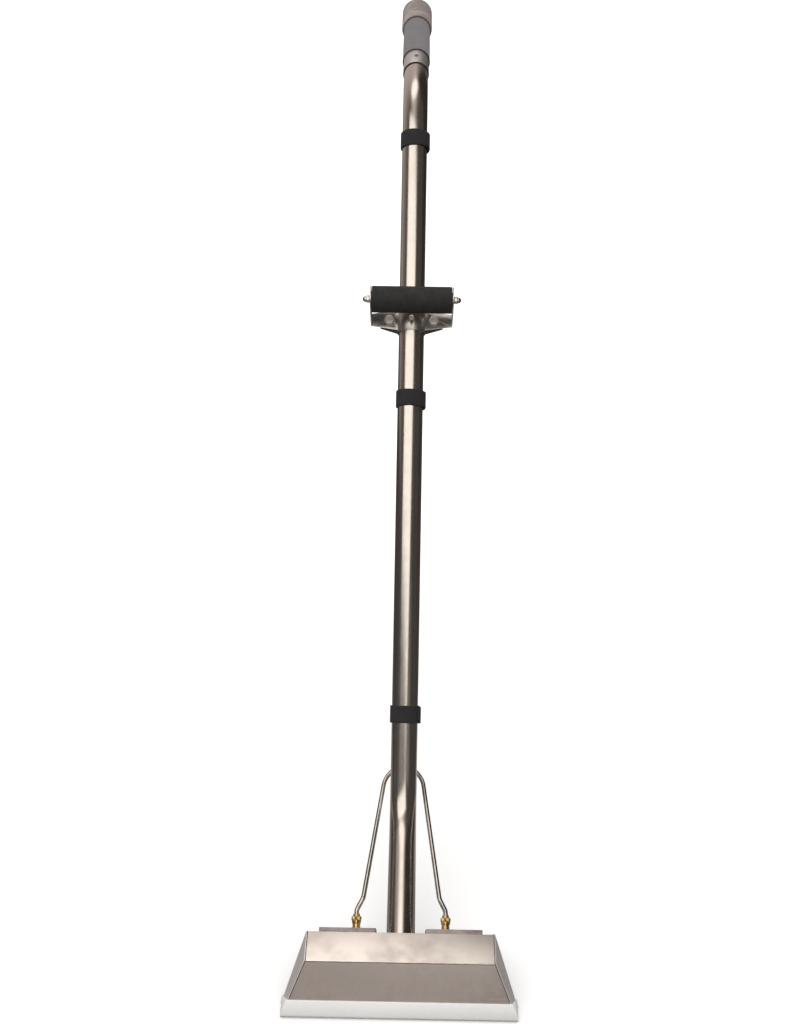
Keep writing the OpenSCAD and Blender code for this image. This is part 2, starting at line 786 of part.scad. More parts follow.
module roller_bushes() {
    color([0.85, 0.85, 0.82]) on_roller() for (side = [0, 1]) mirror([side, 0, 0]) difference() {
        union() {
            cross_rod(bush_d - 2 * run_fit, roller_len / 2 - 12, roller_len / 2 + 0.3);
            cross_rod(bush_d + 5, roller_len / 2, roller_len / 2 + 0.5);
        }
        cross_rod(axle_d + 2 * run_fit, 0, 90);
    }
}

module roller_foam() {
    color(BLACK) on_roller() difference() {
        cross_rod(roller_d, -roller_len / 2, roller_len / 2);
        cross_rod(core_d + 2 * run_fit, -80, 80);
    }
}

// The collar: a band round the upper run with two cheeks that carry the valve.
module valve_collar() {
    cheek_in = valve_half + 0.2;
    color(STEEL) on_upper() difference() {
        union() {
            rod(2 * tube_r + 2 * seat_fit + 2.4, collar_at, collar_at + collar_len);
            for (x = [-cheek_in - 1.5, cheek_in]) translate([x, 8 + tube_growth, collar_at - 4])
                cube([1.5, 24, collar_len]);
        }
        rod(2 * tube_r + 2 * seat_fit, collar_at - 10, collar_at + collar_len + 10);
        for (z = valve_bolt_at) translate([0, valve_bolt_y + tube_growth, z])
            cross_rod(5 + 2 * run_fit, -30, 30);
        translate([0, 0, collar_at + collar_len / 2]) drop(4 + 2 * run_fit, -30, 0);
    }
}

module collar_rivet() {
    top = -tube_r - seat_fit - 1.2;
    color(DARK_STEEL) on_upper(collar_at + collar_len / 2) {
        drop(6, top - 1, top);
        drop(4, top - 0.1, -tube_r - 0.02);
    }
}

module valve_body() {
    color(BRASS) on_valve() difference() {
        union() {
            translate([-valve_half, 20.9, 76]) cube([2 * valve_half, 12, 50]);
            translate([0, gallery_y - 3, 0]) rod(23, valve_front + 2, valve_rear);
            translate([0, hose_off - tube_growth, 0]) rod(15, valve_front, valve_front + 12);
            translate([0, 0, stem_at]) drop(21, gallery_y, 49);
            translate([0, 0, inlet_at]) drop(18, gallery_y, 50);
            translate([-5, gallery_y, pivot_at - 6]) cube([10, pivot_y - gallery_y, 12]);
            translate([0, pivot_y, pivot_at]) cross_rod(12, -5, 5);
        }
        translate([0, -tube_growth, 0]) rod(2 * tube_r + 2.6, 40, 140);
        translate([0, 0, stem_at]) drop(10, 25, 40);
        translate([0, 0, stem_at]) drop(12, 33.6, 50);
        translate([0, hose_off - tube_growth, 0]) rod(4.5, valve_front - 1, stem_at);
        translate([0, hose_off - tube_growth, 0]) rod(8 + 2 * seat_fit, valve_front - 1, valve_front + 5);
        translate([0, 38, 0]) rod(4.5, inlet_at, stem_at);
        translate([0, 0, inlet_at]) drop(6, 38, 51);
        translate([0, 0, inlet_at]) drop(11 + 2 * seat_fit, 42.8, 51);
        translate([0, pivot_y, pivot_at]) cross_rod(5 + 2 * run_fit, -8, 8);
        for (z = valve_bolt_at) translate([0, valve_bolt_y, z])
            cross_rod(5 + 2 * run_fit, -30, 30);
    }
}

module at_valve_bolts() {
    on_valve() for (z = valve_bolt_at) translate([0, valve_bolt_y, z]) children();
}

module valve_bolts() {
    face = valve_half + 1.7;
    color(STEEL) at_valve_bolts() {
        cross_rod(9.2, face, face + 4.2, 6);
        cross_rod(5, -face - 5, face + 0.1);
    }
}

module valve_bolt_nuts() {
    face = valve_half + 1.7;
    color(STEEL) at_valve_bolts() difference() {
        cross_rod(9.2, -face - 4, -face, 6);
        cross_rod(5 + 2 * run_fit, -30, 0);
    }
}

module on_stem() on_valve(stem_at) children();

module valve_seat() {
    color(STEEL) on_stem() difference() {
        drop(12 - 2 * run_fit, 33.7, 36.4);
        drop(6.6, 30, 40);
    }
}

module valve_bonnet() {
    color(BRASS) on_stem() difference() {
        union() {
            drop(15, 49, 53.5, 6);
            drop(12 - 2 * run_fit, 42.2, 49);
        }
        drop(stem_d + 2 * run_fit, 30, 60);
    }
}

module stem_seal() {
    color(BLACK) on_stem() difference() {
        drop(11.4, 39.8, 42.1);
        drop(stem_d + 2 * run_fit, 30, 60);
    }
}

module valve_stem() {
    color(STEEL) on_stem() {
        drop(stem_d, 36, 55.5);
        translate([0, 55.5, 0]) rotate([-90, 0, 0]) cylinder(d1 = stem_d, d2 = stem_d - 2, h = 1.5);
        drop(4, 28, 36.2);
        drop(9, 30.4, 33.6);
    }
}

// A coil spring round the stem, from one ring of points to the next.
spring_wire = 0.8;
spring_turns = 4;
spring_steps = 12;
function spring_ring(i) = let (t = i / spring_steps, a = 360 * t, y = 25.5 + 4.4 * t / spring_turns)
    [for (k = [0 : 5]) let (c = 3.4 + spring_wire / 2 * cos(60 * k))
        [c * cos(a), y + spring_wire / 2 * sin(60 * k), c * sin(a)]];
module valve_spring() {
    rings = spring_turns * spring_steps;
    points = [for (i = [0 : rings]) each spring_ring(i)];
    sides = [for (i = [0 : rings - 1], k = [0 : 5]) let (m = (k + 1) % 6)
        [i * 6 + k, i * 6 + m, (i + 1) * 6 + m, (i + 1) * 6 + k]];
    color(STEEL) on_stem() polyhedron(points, concat(
        sides, [[5, 4, 3, 2, 1, 0], [for (k = [0 : 5]) rings * 6 + k]]));
}

// The trigger: a channel that turns on its pin and presses the stem.
lever_w = 16;
lever_t = 2.5;
lever_path = rounded([
    [98, 57.3], [126, 57.3], [150, 61], [222, 61], [238, 67]
], 12);
module lever_strip(path, t, width) {
    rotate([90, 0, 90]) linear_extrude(width, center = true)
        polygon([for (p = sheet_outline(path, t)) [p.y, p.x]]);
}

module trigger_lever() {
    color(STEEL) on_valve() difference() {
        union() {
            lever_strip(lever_path, lever_t, lever_w);
            for (x = [-8, 5.4]) translate([x, 0, 0]) {
                rotate([90, 0, 90]) linear_extrude(2.6)
                    polygon([[52.5, 86], [52.5, 92], [57.4, 98], [57.4, 128], [59.8, 128], [64, 90]]);
                translate([0, pivot_y, pivot_at]) cross_rod(12, 0, 2.6);
            }
        }
        translate([0, pivot_y, pivot_at]) cross_rod(5 + 2 * run_fit, -20, 20);
    }
}

module trigger_sleeve() {
    grip_path = [for (p = lever_path) if (p.x > 149 && p.x < 232) p];
    color(BLACK) on_valve() difference() {
        lever_strip([for (p = grip_path) p - [0, 2 + soft_gap]], lever_t + 2 * (2 + soft_gap), lever_w + 5);
        lever_strip([for (p = lever_path) p - [0, soft_gap / 2]], lever_t + soft_gap, lever_w + 2 * soft_gap);
    }
}

module trigger_pin() {
    color(STEEL) on_valve() translate([0, pivot_y, pivot_at]) {
        cross_rod(5, -11, 8.3);
        cross_rod(8, 8.2, 9.8);
        difference() {
            cross_rod(8, -9.4, -8.4);
            cross_rod(5, -12, -8);
        }
    }
}

// The quick-release plug that the solution line snaps on to.
module inlet_plug() {
    color(STEEL) on_valve(inlet_at) difference() {
        union() {
            drop(11, 43, 50);
            drop(17, 50, 57, 6);
            drop(14, 57, 59);
            drop(12, 59, 66);
            drop(9.4, 66, 71);
            drop(12, 71, 74);
            translate([0, 74, 0]) rotate([-90, 0, 0]) cylinder(d1 = 12, d2 = 9.4, h = 1.6);
            drop(9.4, 75.5, 84);
        }
        drop(5.5, 40, 90);
    }
}

module rear_grip() {
    color(RUBBER) on_upper() difference() {
        union() {
            rod(grip_d, grip_at + 1.5, grip_at + grip_len - 1.5);
            rod(grip_d - 2, grip_at + 0.4, grip_at + grip_len - 0.4);
        }
        rod(tube_d + 2 * soft_gap, 0, 400);
    }
}

module hose_cuff() {
    color(CUFF) on_upper() difference() {
        union() {
            rod(cuff_d, cuff_at + 1, cuff_at + cuff_len - 1.5);
            rod(cuff_d - 2, cuff_at, cuff_at + cuff_len);
        }
        rod(tube_d + 2 * seat_fit, 0, cuff_at + cuff_overlap + 0.2);
        rod(tube_d - 4, 0, 500);
        rod(cuff_bore, cuff_at + cuff_overlap + 3, 500);
    }
}

vacuum_tube();
head_front_panel();
head_rear_panel();
head_end_plate_left();
head_end_plate_right();
glide();
glide_screws();
spray_hood_left();
spray_hood_right();
jet_body_left();
jet_body_right();
jet_locknuts();
nozzle_tip_left();
nozzle_tip_right();
nozzle_caps();
jet_strainers();
jet_tube_nuts();
jet_ferrules();
solution_tube_left();
solution_tube_right();
solution_tee();
tee_nuts();
tee_ferrules();
tee_bracket();
tee_screw();
hose_fitting_lower();
hose_fitting_upper();
solution_hose();
hose_crimps();
strap_lower();
strap_middle();
strap_top();
handle_front_clamp();
handle_rear_clamp();
clamp_bolts();
clamp_washers();
clamp_nuts();
saddle_rivet();
roller_axle();
axle_washers();
axle_acorn_nuts();
roller_core();
roller_bushes();
roller_foam();
valve_collar();
collar_rivet();
valve_body();
valve_bolts();
valve_bolt_nuts();
valve_seat();
valve_bonnet();
stem_seal();
valve_stem();
valve_spring();
trigger_lever();
trigger_sleeve();
trigger_pin();
inlet_plug();
rear_grip();
hose_cuff();
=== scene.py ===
"""Looks for a floor wand of a carpet cleaning machine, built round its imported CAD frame."""

from __future__ import annotations

import json
import logging
import math
from dataclasses import dataclass
from enum import Enum
from typing import Callable, Iterable, Optional, Sequence

import bmesh
import bpy
from mathutils import Matrix, Vector, noise

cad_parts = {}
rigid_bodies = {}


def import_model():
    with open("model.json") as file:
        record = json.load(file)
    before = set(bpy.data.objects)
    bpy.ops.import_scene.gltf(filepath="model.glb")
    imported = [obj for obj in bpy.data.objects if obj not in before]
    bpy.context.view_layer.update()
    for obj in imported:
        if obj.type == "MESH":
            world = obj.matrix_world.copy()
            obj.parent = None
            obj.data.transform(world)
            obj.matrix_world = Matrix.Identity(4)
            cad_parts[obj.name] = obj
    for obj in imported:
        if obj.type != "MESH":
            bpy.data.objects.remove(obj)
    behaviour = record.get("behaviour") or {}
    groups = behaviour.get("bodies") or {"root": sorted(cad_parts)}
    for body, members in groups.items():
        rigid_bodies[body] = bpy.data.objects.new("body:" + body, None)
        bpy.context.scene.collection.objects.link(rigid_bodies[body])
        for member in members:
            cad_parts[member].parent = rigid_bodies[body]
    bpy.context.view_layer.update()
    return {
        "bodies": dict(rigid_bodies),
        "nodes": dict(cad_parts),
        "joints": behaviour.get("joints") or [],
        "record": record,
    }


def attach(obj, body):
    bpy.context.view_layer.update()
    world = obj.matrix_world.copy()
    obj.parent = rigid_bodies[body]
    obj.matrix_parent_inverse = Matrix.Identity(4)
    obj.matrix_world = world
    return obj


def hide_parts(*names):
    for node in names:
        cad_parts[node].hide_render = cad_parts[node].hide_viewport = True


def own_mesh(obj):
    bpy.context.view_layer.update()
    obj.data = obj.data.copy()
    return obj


LOG = logging.getLogger("floor_wand")
MM = 0.001
Pair = tuple[float, float]
Triple = tuple[float, float, float]
RGB = tuple[float, float, float]
Socket = bpy.types.NodeSocket


# ---- Where everything lies ----


def heading(degrees: float) -> Vector:
    """Unit vector in the YZ plane at an angle above the floor, as (y, z)."""
    return Vector((math.cos(math.radians(degrees)), math.sin(math.radians(degrees))))


def arc(centre: Pair, radius: float, start: float, end: float, steps: int) -> list[Pair]:
    """Lists points along an arc.

    Args:
        centre: Centre of the arc.
        radius: Its radius.
        start: Angle of the first point in degrees.
        end: Angle of the last point in degrees.
        steps: Number of stretches between the points.

    Returns:
        The points, from one end to the other.
    """
    turns = (math.radians(start + (end - start) * k / steps) for k in range(steps + 1))
    return [(centre[0] + radius * math.cos(turn), centre[1] + radius * math.sin(turn)) for turn in turns]


def rim(radius: float, height: float, rounding: float, upper: bool) -> list[Pair]:
    """Rounds an outer corner of a turned profile.

    Args:
        radius: Outer radius of the turned part.
        height: Height of its end face.
        rounding: Radius of the corner.
        upper: Whether the end face is the upper one.

    Returns:
        Points of (radius, height) in rising order.
    """
    middle = height - rounding if upper else height + rounding
    start = 0 if upper else -90
    return arc((radius - rounding, middle), rounding, start, start + 90, 6)


@dataclass(frozen=True)
class Posture:
    """Corner points of the wand in the row frame, in millimetres."""

    main_rise: float = 60.0
    end_rise: float = 15.0
    bend_radius: float = 100.0
    lower_length: float = 209.0
    main_length: float = 1102.0
    tube_radius: float = 19.05
    wall: float = 1.65
    tube_end: float = 339.0
    foot: Pair = (-7.0, 22.0)
    front_run: float = 49.0
    front_slope: float = 60.0
    top_run: float = 46.0
    axis_drop: float = 22.4
    rear_foot: Pair = (8.0, 14.5)
    jet_drop: float = 37.0
    jet_stand: float = 5.2

    @property
    def nose(self) -> Vector:
        """Fold between the front and the top panel."""
        return Vector(self.foot) + self.front_run * heading(self.front_slope)

    @property
    def crown(self) -> Vector:
        """Rear edge of the top panel."""
        return self.nose + self.top_run * heading(self.end_rise)

    @property
    def rear_slope(self) -> float:
        """Slope of the rear panel above the floor, in degrees."""
        rise = self.crown - Vector(self.rear_foot)
        return math.degrees(math.atan2(rise.y, rise.x))

    @property
    def entry(self) -> Vector:
        """Where the tube's centre line meets the line down from the crown."""
        return self.crown + self.axis_drop * heading(self.end_rise - 90)

    @property
    def low(self) -> Vector:
        """Lower corner of the tube's centre line."""
        return self.entry + self.lower_length * heading(self.end_rise)

    @property
    def high(self) -> Vector:
        """Upper corner of the tube's centre line."""
        return self.low + self.main_length * heading(self.main_rise)

    @property
    def half_bend(self) -> float:
        """Half of the angle of each bend, in radians."""
        return math.radians(self.main_rise - self.end_rise) / 2

    @staticmethod
    def _run(start: Vector, rise: float, at: float) -> Matrix:
        """Makes a frame on a straight run.

        Args:
            start: Where the run starts, as (y, z).
            rise: Its slope above the floor in degrees.
            at: Distance from its start.

        Returns:
            The frame, whose Z follows the run and whose Y points under it.
        """
        turn = Matrix.Rotation(math.radians(rise - 90), 4, "X")
        place = Matrix.Translation(Vector((0, start.x, start.y)) * MM)
        return place @ turn @ Matrix.Translation((0, 0, at * MM))

    def on_lower(self, at: float = 0.0) -> Matrix:
        """Frame on the lower run, counted from the lower corner."""
        return self._run(self.low, self.end_rise, at)

    def on_main(self, at: float = 0.0) -> Matrix:
        """Frame on the main run, counted from the lower corner."""
        return self._run(self.low, self.main_rise, at)

    def on_upper(self, at: float = 0.0) -> Matrix:
        """Frame on the upper run, counted from the upper corner."""
        return self._run(self.high, self.end_rise, at)

    def on_jet(self, x: float) -> Matrix:
        """Makes a frame on a spray jet.

        Args:
            x: Place of the jet across the head.

        Returns:
            The frame, whose Z points up the jet's axis and whose Y points back.
        """
        lean = 90 - self.rear_slope
        spot = self.crown + self.jet_drop * heading(-lean) + self.jet_stand * heading(90 - lean)
        place = Matrix.Translation(Vector((x, spot.x, spot.y)) * MM)
        return place @ Matrix.Rotation(math.radians(-lean), 4, "X")


WAND = Posture()


@dataclass(frozen=True)
class Plumbing:
    """Routes of the thin tubes and of the solution hose, in millimetres."""

    jet_x: float = 60.0
    tube_foot: tuple[Triple, ...] = ((0, 0, 8.3), (0, 0, 25.0), (-8.5, 0, 41.0))
    tube_bends: tuple[float, ...] = (0.0, 12.0, 12.0, 28.0, 0.0)
    port_reach: Pair = (35.6, 12.1)
    port_slope: float = 40.0
    tee_at: float = 84.0
    tee_off: float = 30.0
    hose_radius: float = 5.5
    hose_off: float = 28.0
    hose_start: float = 18.5
    hose_ease: Pair = (33.4, 53.0)
    hose_end: float = 52.5

    def port(self, reach: float) -> Vector:
        """Point on the axis of the tee's right port, at a distance from the tee's middle."""
        side = reach * heading(self.port_slope)
        return WAND.on_main(self.tee_at - side.y) @ (Vector((side.x, self.tee_off, 0)) * MM)

    def thin_tube(self) -> Route:
        """Route of the right thin tube, from its jet to the tee."""
        corners = [WAND.on_jet(self.jet_x) @ (Vector(spot) * MM) for spot in self.tube_foot]
        return Route(corners + [self.port(reach) for reach in self.port_reach], self.tube_bends)

    def hose(self) -> Route:
        """Lays out the hose, from the tee under the tube to the valve.

        Returns:
            The route.
        """
        turn_at = WAND.main_length - self.hose_off * math.tan(WAND.half_bend)
        first, second = self.hose_ease
        places = ((WAND.on_main(self.tee_at + self.hose_start), self.tee_off),
                  (WAND.on_main(self.tee_at + first), self.tee_off),
                  (WAND.on_main(self.tee_at + second), self.hose_off),
                  (WAND.on_main(turn_at), self.hose_off),
                  (WAND.on_upper(self.hose_end), self.hose_off))
        corners = [frame @ Vector((0, off * MM, 0)) for frame, off in places]
        return Route(corners, [WAND.bend_radius - self.hose_off] * len(corners))


PIPES = Plumbing()


class Body(Enum):
    """CAD bodies that pieces ride on."""

    WAND = "wand"
    HANDLE = "handle"
    ROLLER = "roller"
    TRIGGER = "trigger"
    STEM = "stem"


# ---- Materials ----


class Graph:
    """Shader nodes of one material or of the world."""

    def __init__(self, owner: bpy.types.Material | bpy.types.World) -> None:
        """Clears the owner's nodes, to start from nothing.

        Args:
            owner: The material or the world.
        """
        owner.use_nodes = True
        self.tree = owner.node_tree
        self.tree.nodes.clear()

    def add(self, kind: str, settings: Optional[dict] = None, **inputs: object) -> bpy.types.Node:
        """Adds a node, sets its properties and fills or links its inputs.

        Args:
            kind: Blender's class name without "ShaderNode".
            settings: Properties of the node itself.
            **inputs: Socket name, with "_" for a space, to a value or an output.

        Returns:
            The new node.
        """
        node = self.tree.nodes.new("ShaderNode" + kind)
        for key, value in (settings or {}).items():
            setattr(node, key, value)
        for key, value in inputs.items():
            self.feed(node.inputs[key.replace("_", " ")], value)
        return node

    def join(self, kind: str, *values: object, **settings: object) -> Socket:
        """Adds a node whose inputs are told by their order.

        Args:
            kind: Blender's class name without "ShaderNode".
            *values: Values or outputs for its first inputs.
            **settings: Properties of the node itself.

        Returns:
            The node's first output.
        """
        node = self.add(kind, settings)
        for socket, value in zip(node.inputs, values):
            self.feed(socket, value)
        return node.outputs[0]

    def feed(self, socket: Socket, value: object) -> None:
        """Links an output to a socket, or sets the socket's own value.

        Args:
            socket: The socket.
            value: An output, a number, a vector or a colour.
        """
        if isinstance(value, Socket):
            self.tree.links.new(value, socket)
        elif isinstance(value, tuple) and socket.type == "RGBA":
            socket.default_value = (*value, 1.0)
        else:
            socket.default_value = value

    def math(self, operation: str, *values: object) -> Socket:
        """Adds a Math node and returns its output."""
        return self.join("Math", *values, operation=operation)

    def mix(self, factor: object, first: object, second: object) -> Socket:
        """Mixes two colours.

        Args:
            factor: Share of the second colour.
            first: The first colour.
            second: The second colour.

        Returns:
            The mixed colour.
        """
        node = self.add("Mix", {"data_type": "RGBA"})
        colours = [socket for socket in node.inputs if socket.type == "RGBA"]
        for socket, value in zip([node.inputs[0]] + colours, (factor, first, second)):
            self.feed(socket, value)
        return next(socket for socket in node.outputs if socket.type == "RGBA")

    def ramp(self, value: object, limits: Pair, results: Pair = (0.0, 1.0)) -> Socket:
        """Maps a value between two limits, smoothly and clamped.

        Args:
            value: The value.
            limits: Where the change starts and where it ends.
            results: What is returned at either limit.

        Returns:
            The mapped value.
        """
        return self.join("MapRange", value, *limits, *results, interpolation_type="SMOOTHSTEP")

    def cloud(self, vector: object, scale: float, detail: float, roughness: float = 0.5) -> Socket:
        """Adds a Noise Texture node and returns its value."""
        return self.add("TexNoise", Vector=vector, Scale=scale, Detail=detail, Roughness=roughness).outputs[0]

    def end(self, kind: str, shader: Socket) -> None:
        """Links a shader to a new output node, of kind Material or World."""
        self.tree.links.new(shader, self.add("Output" + kind).inputs[0])


class Surface(Graph):
    """Nodes of a finish, with the marks that finishes share, each as a mask from 0 to 1."""

    fine_step: float = 4.7
    fine_share: float = 0.35
    scratch_ways: tuple[Triple, ...] = ((0.06, 0.1, 0.0), (0.62, 0.55, 3.7), (-0.9, -0.8, 8.1))
    scratch_stretch: Triple = (0.022, 1.0, 1.0)
    scratch_patches: float = 0.03
    brush_stretch: Triple = (0.02, 1.0, 1.0)
    grain_step: float = 1.7
    rib_lean: float = 0.5
    cord_step: float = 1.9
    fuzz_scale: float = 1.3

    def mottle(self, vector: Socket, scale: float) -> Socket:
        """Makes cloudy variation with a softer and a finer layer.

        Args:
            vector: Coordinates.
            scale: Clouds to the metre.

        Returns:
            The mask.
        """
        broad = self.cloud(vector, scale, 3.0, 0.55)
        fine = self.cloud(vector, self.fine_step * scale, 4.0, 0.6)
        both = self.math("MULTIPLY_ADD", broad, 1.0 - self.fine_share,
                         self.math("MULTIPLY", fine, self.fine_share))
        return self.ramp(both, (0.36, 0.66))

    def scratches(self, vector: Socket, scale: float) -> Socket:
        """Makes long hairline scratches in three directions, here and there.

        Args:
            vector: Coordinates.
            scale: Density of the scratches.

        Returns:
            The mask.
        """
        lines: object = 0.0
        for yaw, pitch, shift in self.scratch_ways:
            turned = self.add("Mapping", Vector=vector, Rotation=(0.0, pitch, yaw),
                              Location=(shift, shift * 0.7, 0.0)).outputs[0]
            stretched = self.add("Mapping", Vector=turned, Scale=self.scratch_stretch).outputs[0]
            line = self.ramp(self.cloud(stretched, scale, 1.0), (0.66, 0.74))
            lines = self.math("MAXIMUM", lines, line)
        patches = self.ramp(self.cloud(vector, self.scratch_patches * scale, 1.0), (0.42, 0.62))
        return self.math("MULTIPLY", lines, patches)

    def brushing(self, vector: Socket, scale: float) -> Socket:
        """Fine parallel lines along local X, as an abrasive belt leaves them."""
        stretched = self.add("Mapping", Vector=vector, Scale=self.brush_stretch).outputs[0]
        return self.ramp(self.cloud(stretched, scale, 4.0, 0.7), (0.3, 0.7))

    def pores(self, vector: Socket, scale: float) -> Socket:
        """Makes small open cells, as on foam rubber.

        Args:
            vector: Coordinates.
            scale: Cells to the metre.

        Returns:
            The mask.
        """
        cells = self.add("TexVoronoi", {"feature": "F1"}, Vector=vector, Scale=scale, Randomness=1.0)
        pits = self.ramp(cells.outputs["Distance"], (0.15, 0.62))
        grain = self.ramp(self.cloud(vector, self.grain_step * scale, 3.0), (0.25, 0.6))
        return self.math("MULTIPLY", pits, grain)

    def ribs(self, vector: Socket, pitch: float) -> Socket:
        """Makes the twill ribs of webbing.

        Args:
            vector: How far along and across the webbing a point lies, in millimetres.
            pitch: Distance between ribs in millimetres.

        Returns:
            The mask.
        """
        parts = self.add("SeparateXYZ", Vector=vector)
        along = self.math("MULTIPLY", parts.outputs["X"], math.tau / pitch)
        across = self.math("MULTIPLY", parts.outputs["Y"], math.tau / pitch)
        twill = self.math("SINE", self.math("MULTIPLY_ADD", across, self.rib_lean, along))
        cords = self.math("SINE", self.math("MULTIPLY", across, self.cord_step))
        both = self.math("MULTIPLY_ADD", self.math("ADD", twill, cords), 0.25, 0.5)
        fuzz = self.ramp(self.cloud(vector, self.fuzz_scale, 4.0, 0.7), (0.2, 0.8))
        return self.math("MULTIPLY", both, fuzz)


@dataclass(frozen=True)
class Finish:
    """A finish of one material: its colours, gloss, small surface marks and, where set, painted shade near
    the floor.
    """

    name: str
    slot: str
    colour: RGB
    shade: RGB
    metallic: float
    roughness: float
    spread: float
    cloud: float
    shading: float
    brush: float = 0.0
    brush_scale: float = 900.0
    scratch: float = 0.0
    scratch_scale: float = 700.0
    scratch_colour: RGB = (0.9, 0.88, 0.84)
    scratch_rough: float = 0.15
    scratch_depth: float = 0.2
    pore: float = 0.0
    pore_scale: float = 900.0
    pore_colour: RGB = (0.01, 0.01, 0.01)
    pore_cover: float = 0.75
    coat: float = 0.0
    coat_rough: float = 0.12
    sheen: float = 0.0
    turn: Triple = (0.0, 0.0, 0.0)
    weave: float = 0.0
    weave_pitch: float = 1.1
    weave_gain: float = 2.2
    weave_cover: float = 0.7
    # Painted shade: how strongly the colour darkens towards the shade colour near the floor, and the height
    # where that starts.
    foot_shade: float = 0.0
    foot_shade_top: float = 0.020
    gloss: float = 0.5
    bump: float = 0.5
    bump_depth: float = 0.0002

    def build(self) -> bpy.types.Material:
        """Makes the material, or returns the one already made.

        Returns:
            The Blender material.
        """
        label = self.name + "_finish"
        made = bpy.data.materials.get(label)
        if made is not None:
            return made
        material = bpy.data.materials.new(label)
        graph = Surface(material)
        place = graph.add("TexCoord").outputs["Object"]
        turn = tuple(math.radians(angle) for angle in self.turn)
        vector = graph.add("Mapping", Vector=place, Rotation=turn).outputs[0]
        clouds = graph.mottle(vector, self.cloud)
        colour = graph.mix(graph.math("MULTIPLY", clouds, self.shading), self.colour, self.shade)
        rough = graph.math("MULTIPLY_ADD", clouds, self.spread, self.roughness)
        height: object = 0.0
        if self.brush:
            lines = graph.brushing(vector, self.brush_scale)
            rough = graph.math("MULTIPLY_ADD", lines, self.brush, rough)
            height = graph.math("MULTIPLY_ADD", lines, self.brush, height)
        if self.scratch:
            marks = graph.scratches(vector, self.scratch_scale)
            colour = graph.mix(graph.math("MULTIPLY", marks, self.scratch), colour, self.scratch_colour)
            rough = graph.math("MULTIPLY_ADD", marks, self.scratch_rough * self.scratch, rough)
            height = graph.math("MULTIPLY_ADD", marks, -self.scratch_depth * self.scratch, height)
        if self.pore:
            pits = graph.pores(vector, self.pore_scale)
            colour = graph.mix(graph.math("MULTIPLY", pits, self.pore_cover), colour, self.pore_colour)
            height = graph.math("MULTIPLY_ADD", pits, -self.pore, height)
        if self.weave:
            laid = graph.add("Attribute", {"attribute_name": "weave"}).outputs["Vector"]
            ribs = graph.ribs(laid, self.weave_pitch)
            pale = tuple(self.weave_gain * part for part in self.colour)
            colour = graph.mix(graph.math("MULTIPLY", ribs, self.weave_cover), colour, pale)
            height = graph.math("MULTIPLY_ADD", ribs, self.weave, height)
        # Painted shade: from the given height down to the floor the colour darkens towards the shade colour.
        if self.foot_shade:
            tall = graph.add("SeparateXYZ", Vector=place).outputs["Z"]
            colour = graph.mix(graph.ramp(tall, (self.foot_shade_top, 0.0), (0.0, self.foot_shade)), colour, self.shade)
        shader = graph.add("BsdfPrincipled", Base_Color=colour, Metallic=self.metallic, Roughness=rough,
                           Specular_IOR_Level=self.gloss, Coat_Weight=self.coat,
                           Coat_Roughness=self.coat_rough, Sheen_Weight=self.sheen)
        if isinstance(height, Socket):
            bump = graph.add("Bump", Height=height, Strength=self.bump, Distance=self.bump_depth)
            graph.feed(shader.inputs["Normal"], bump.outputs[0])
        graph.end("Material", shader.outputs[0])
        return material


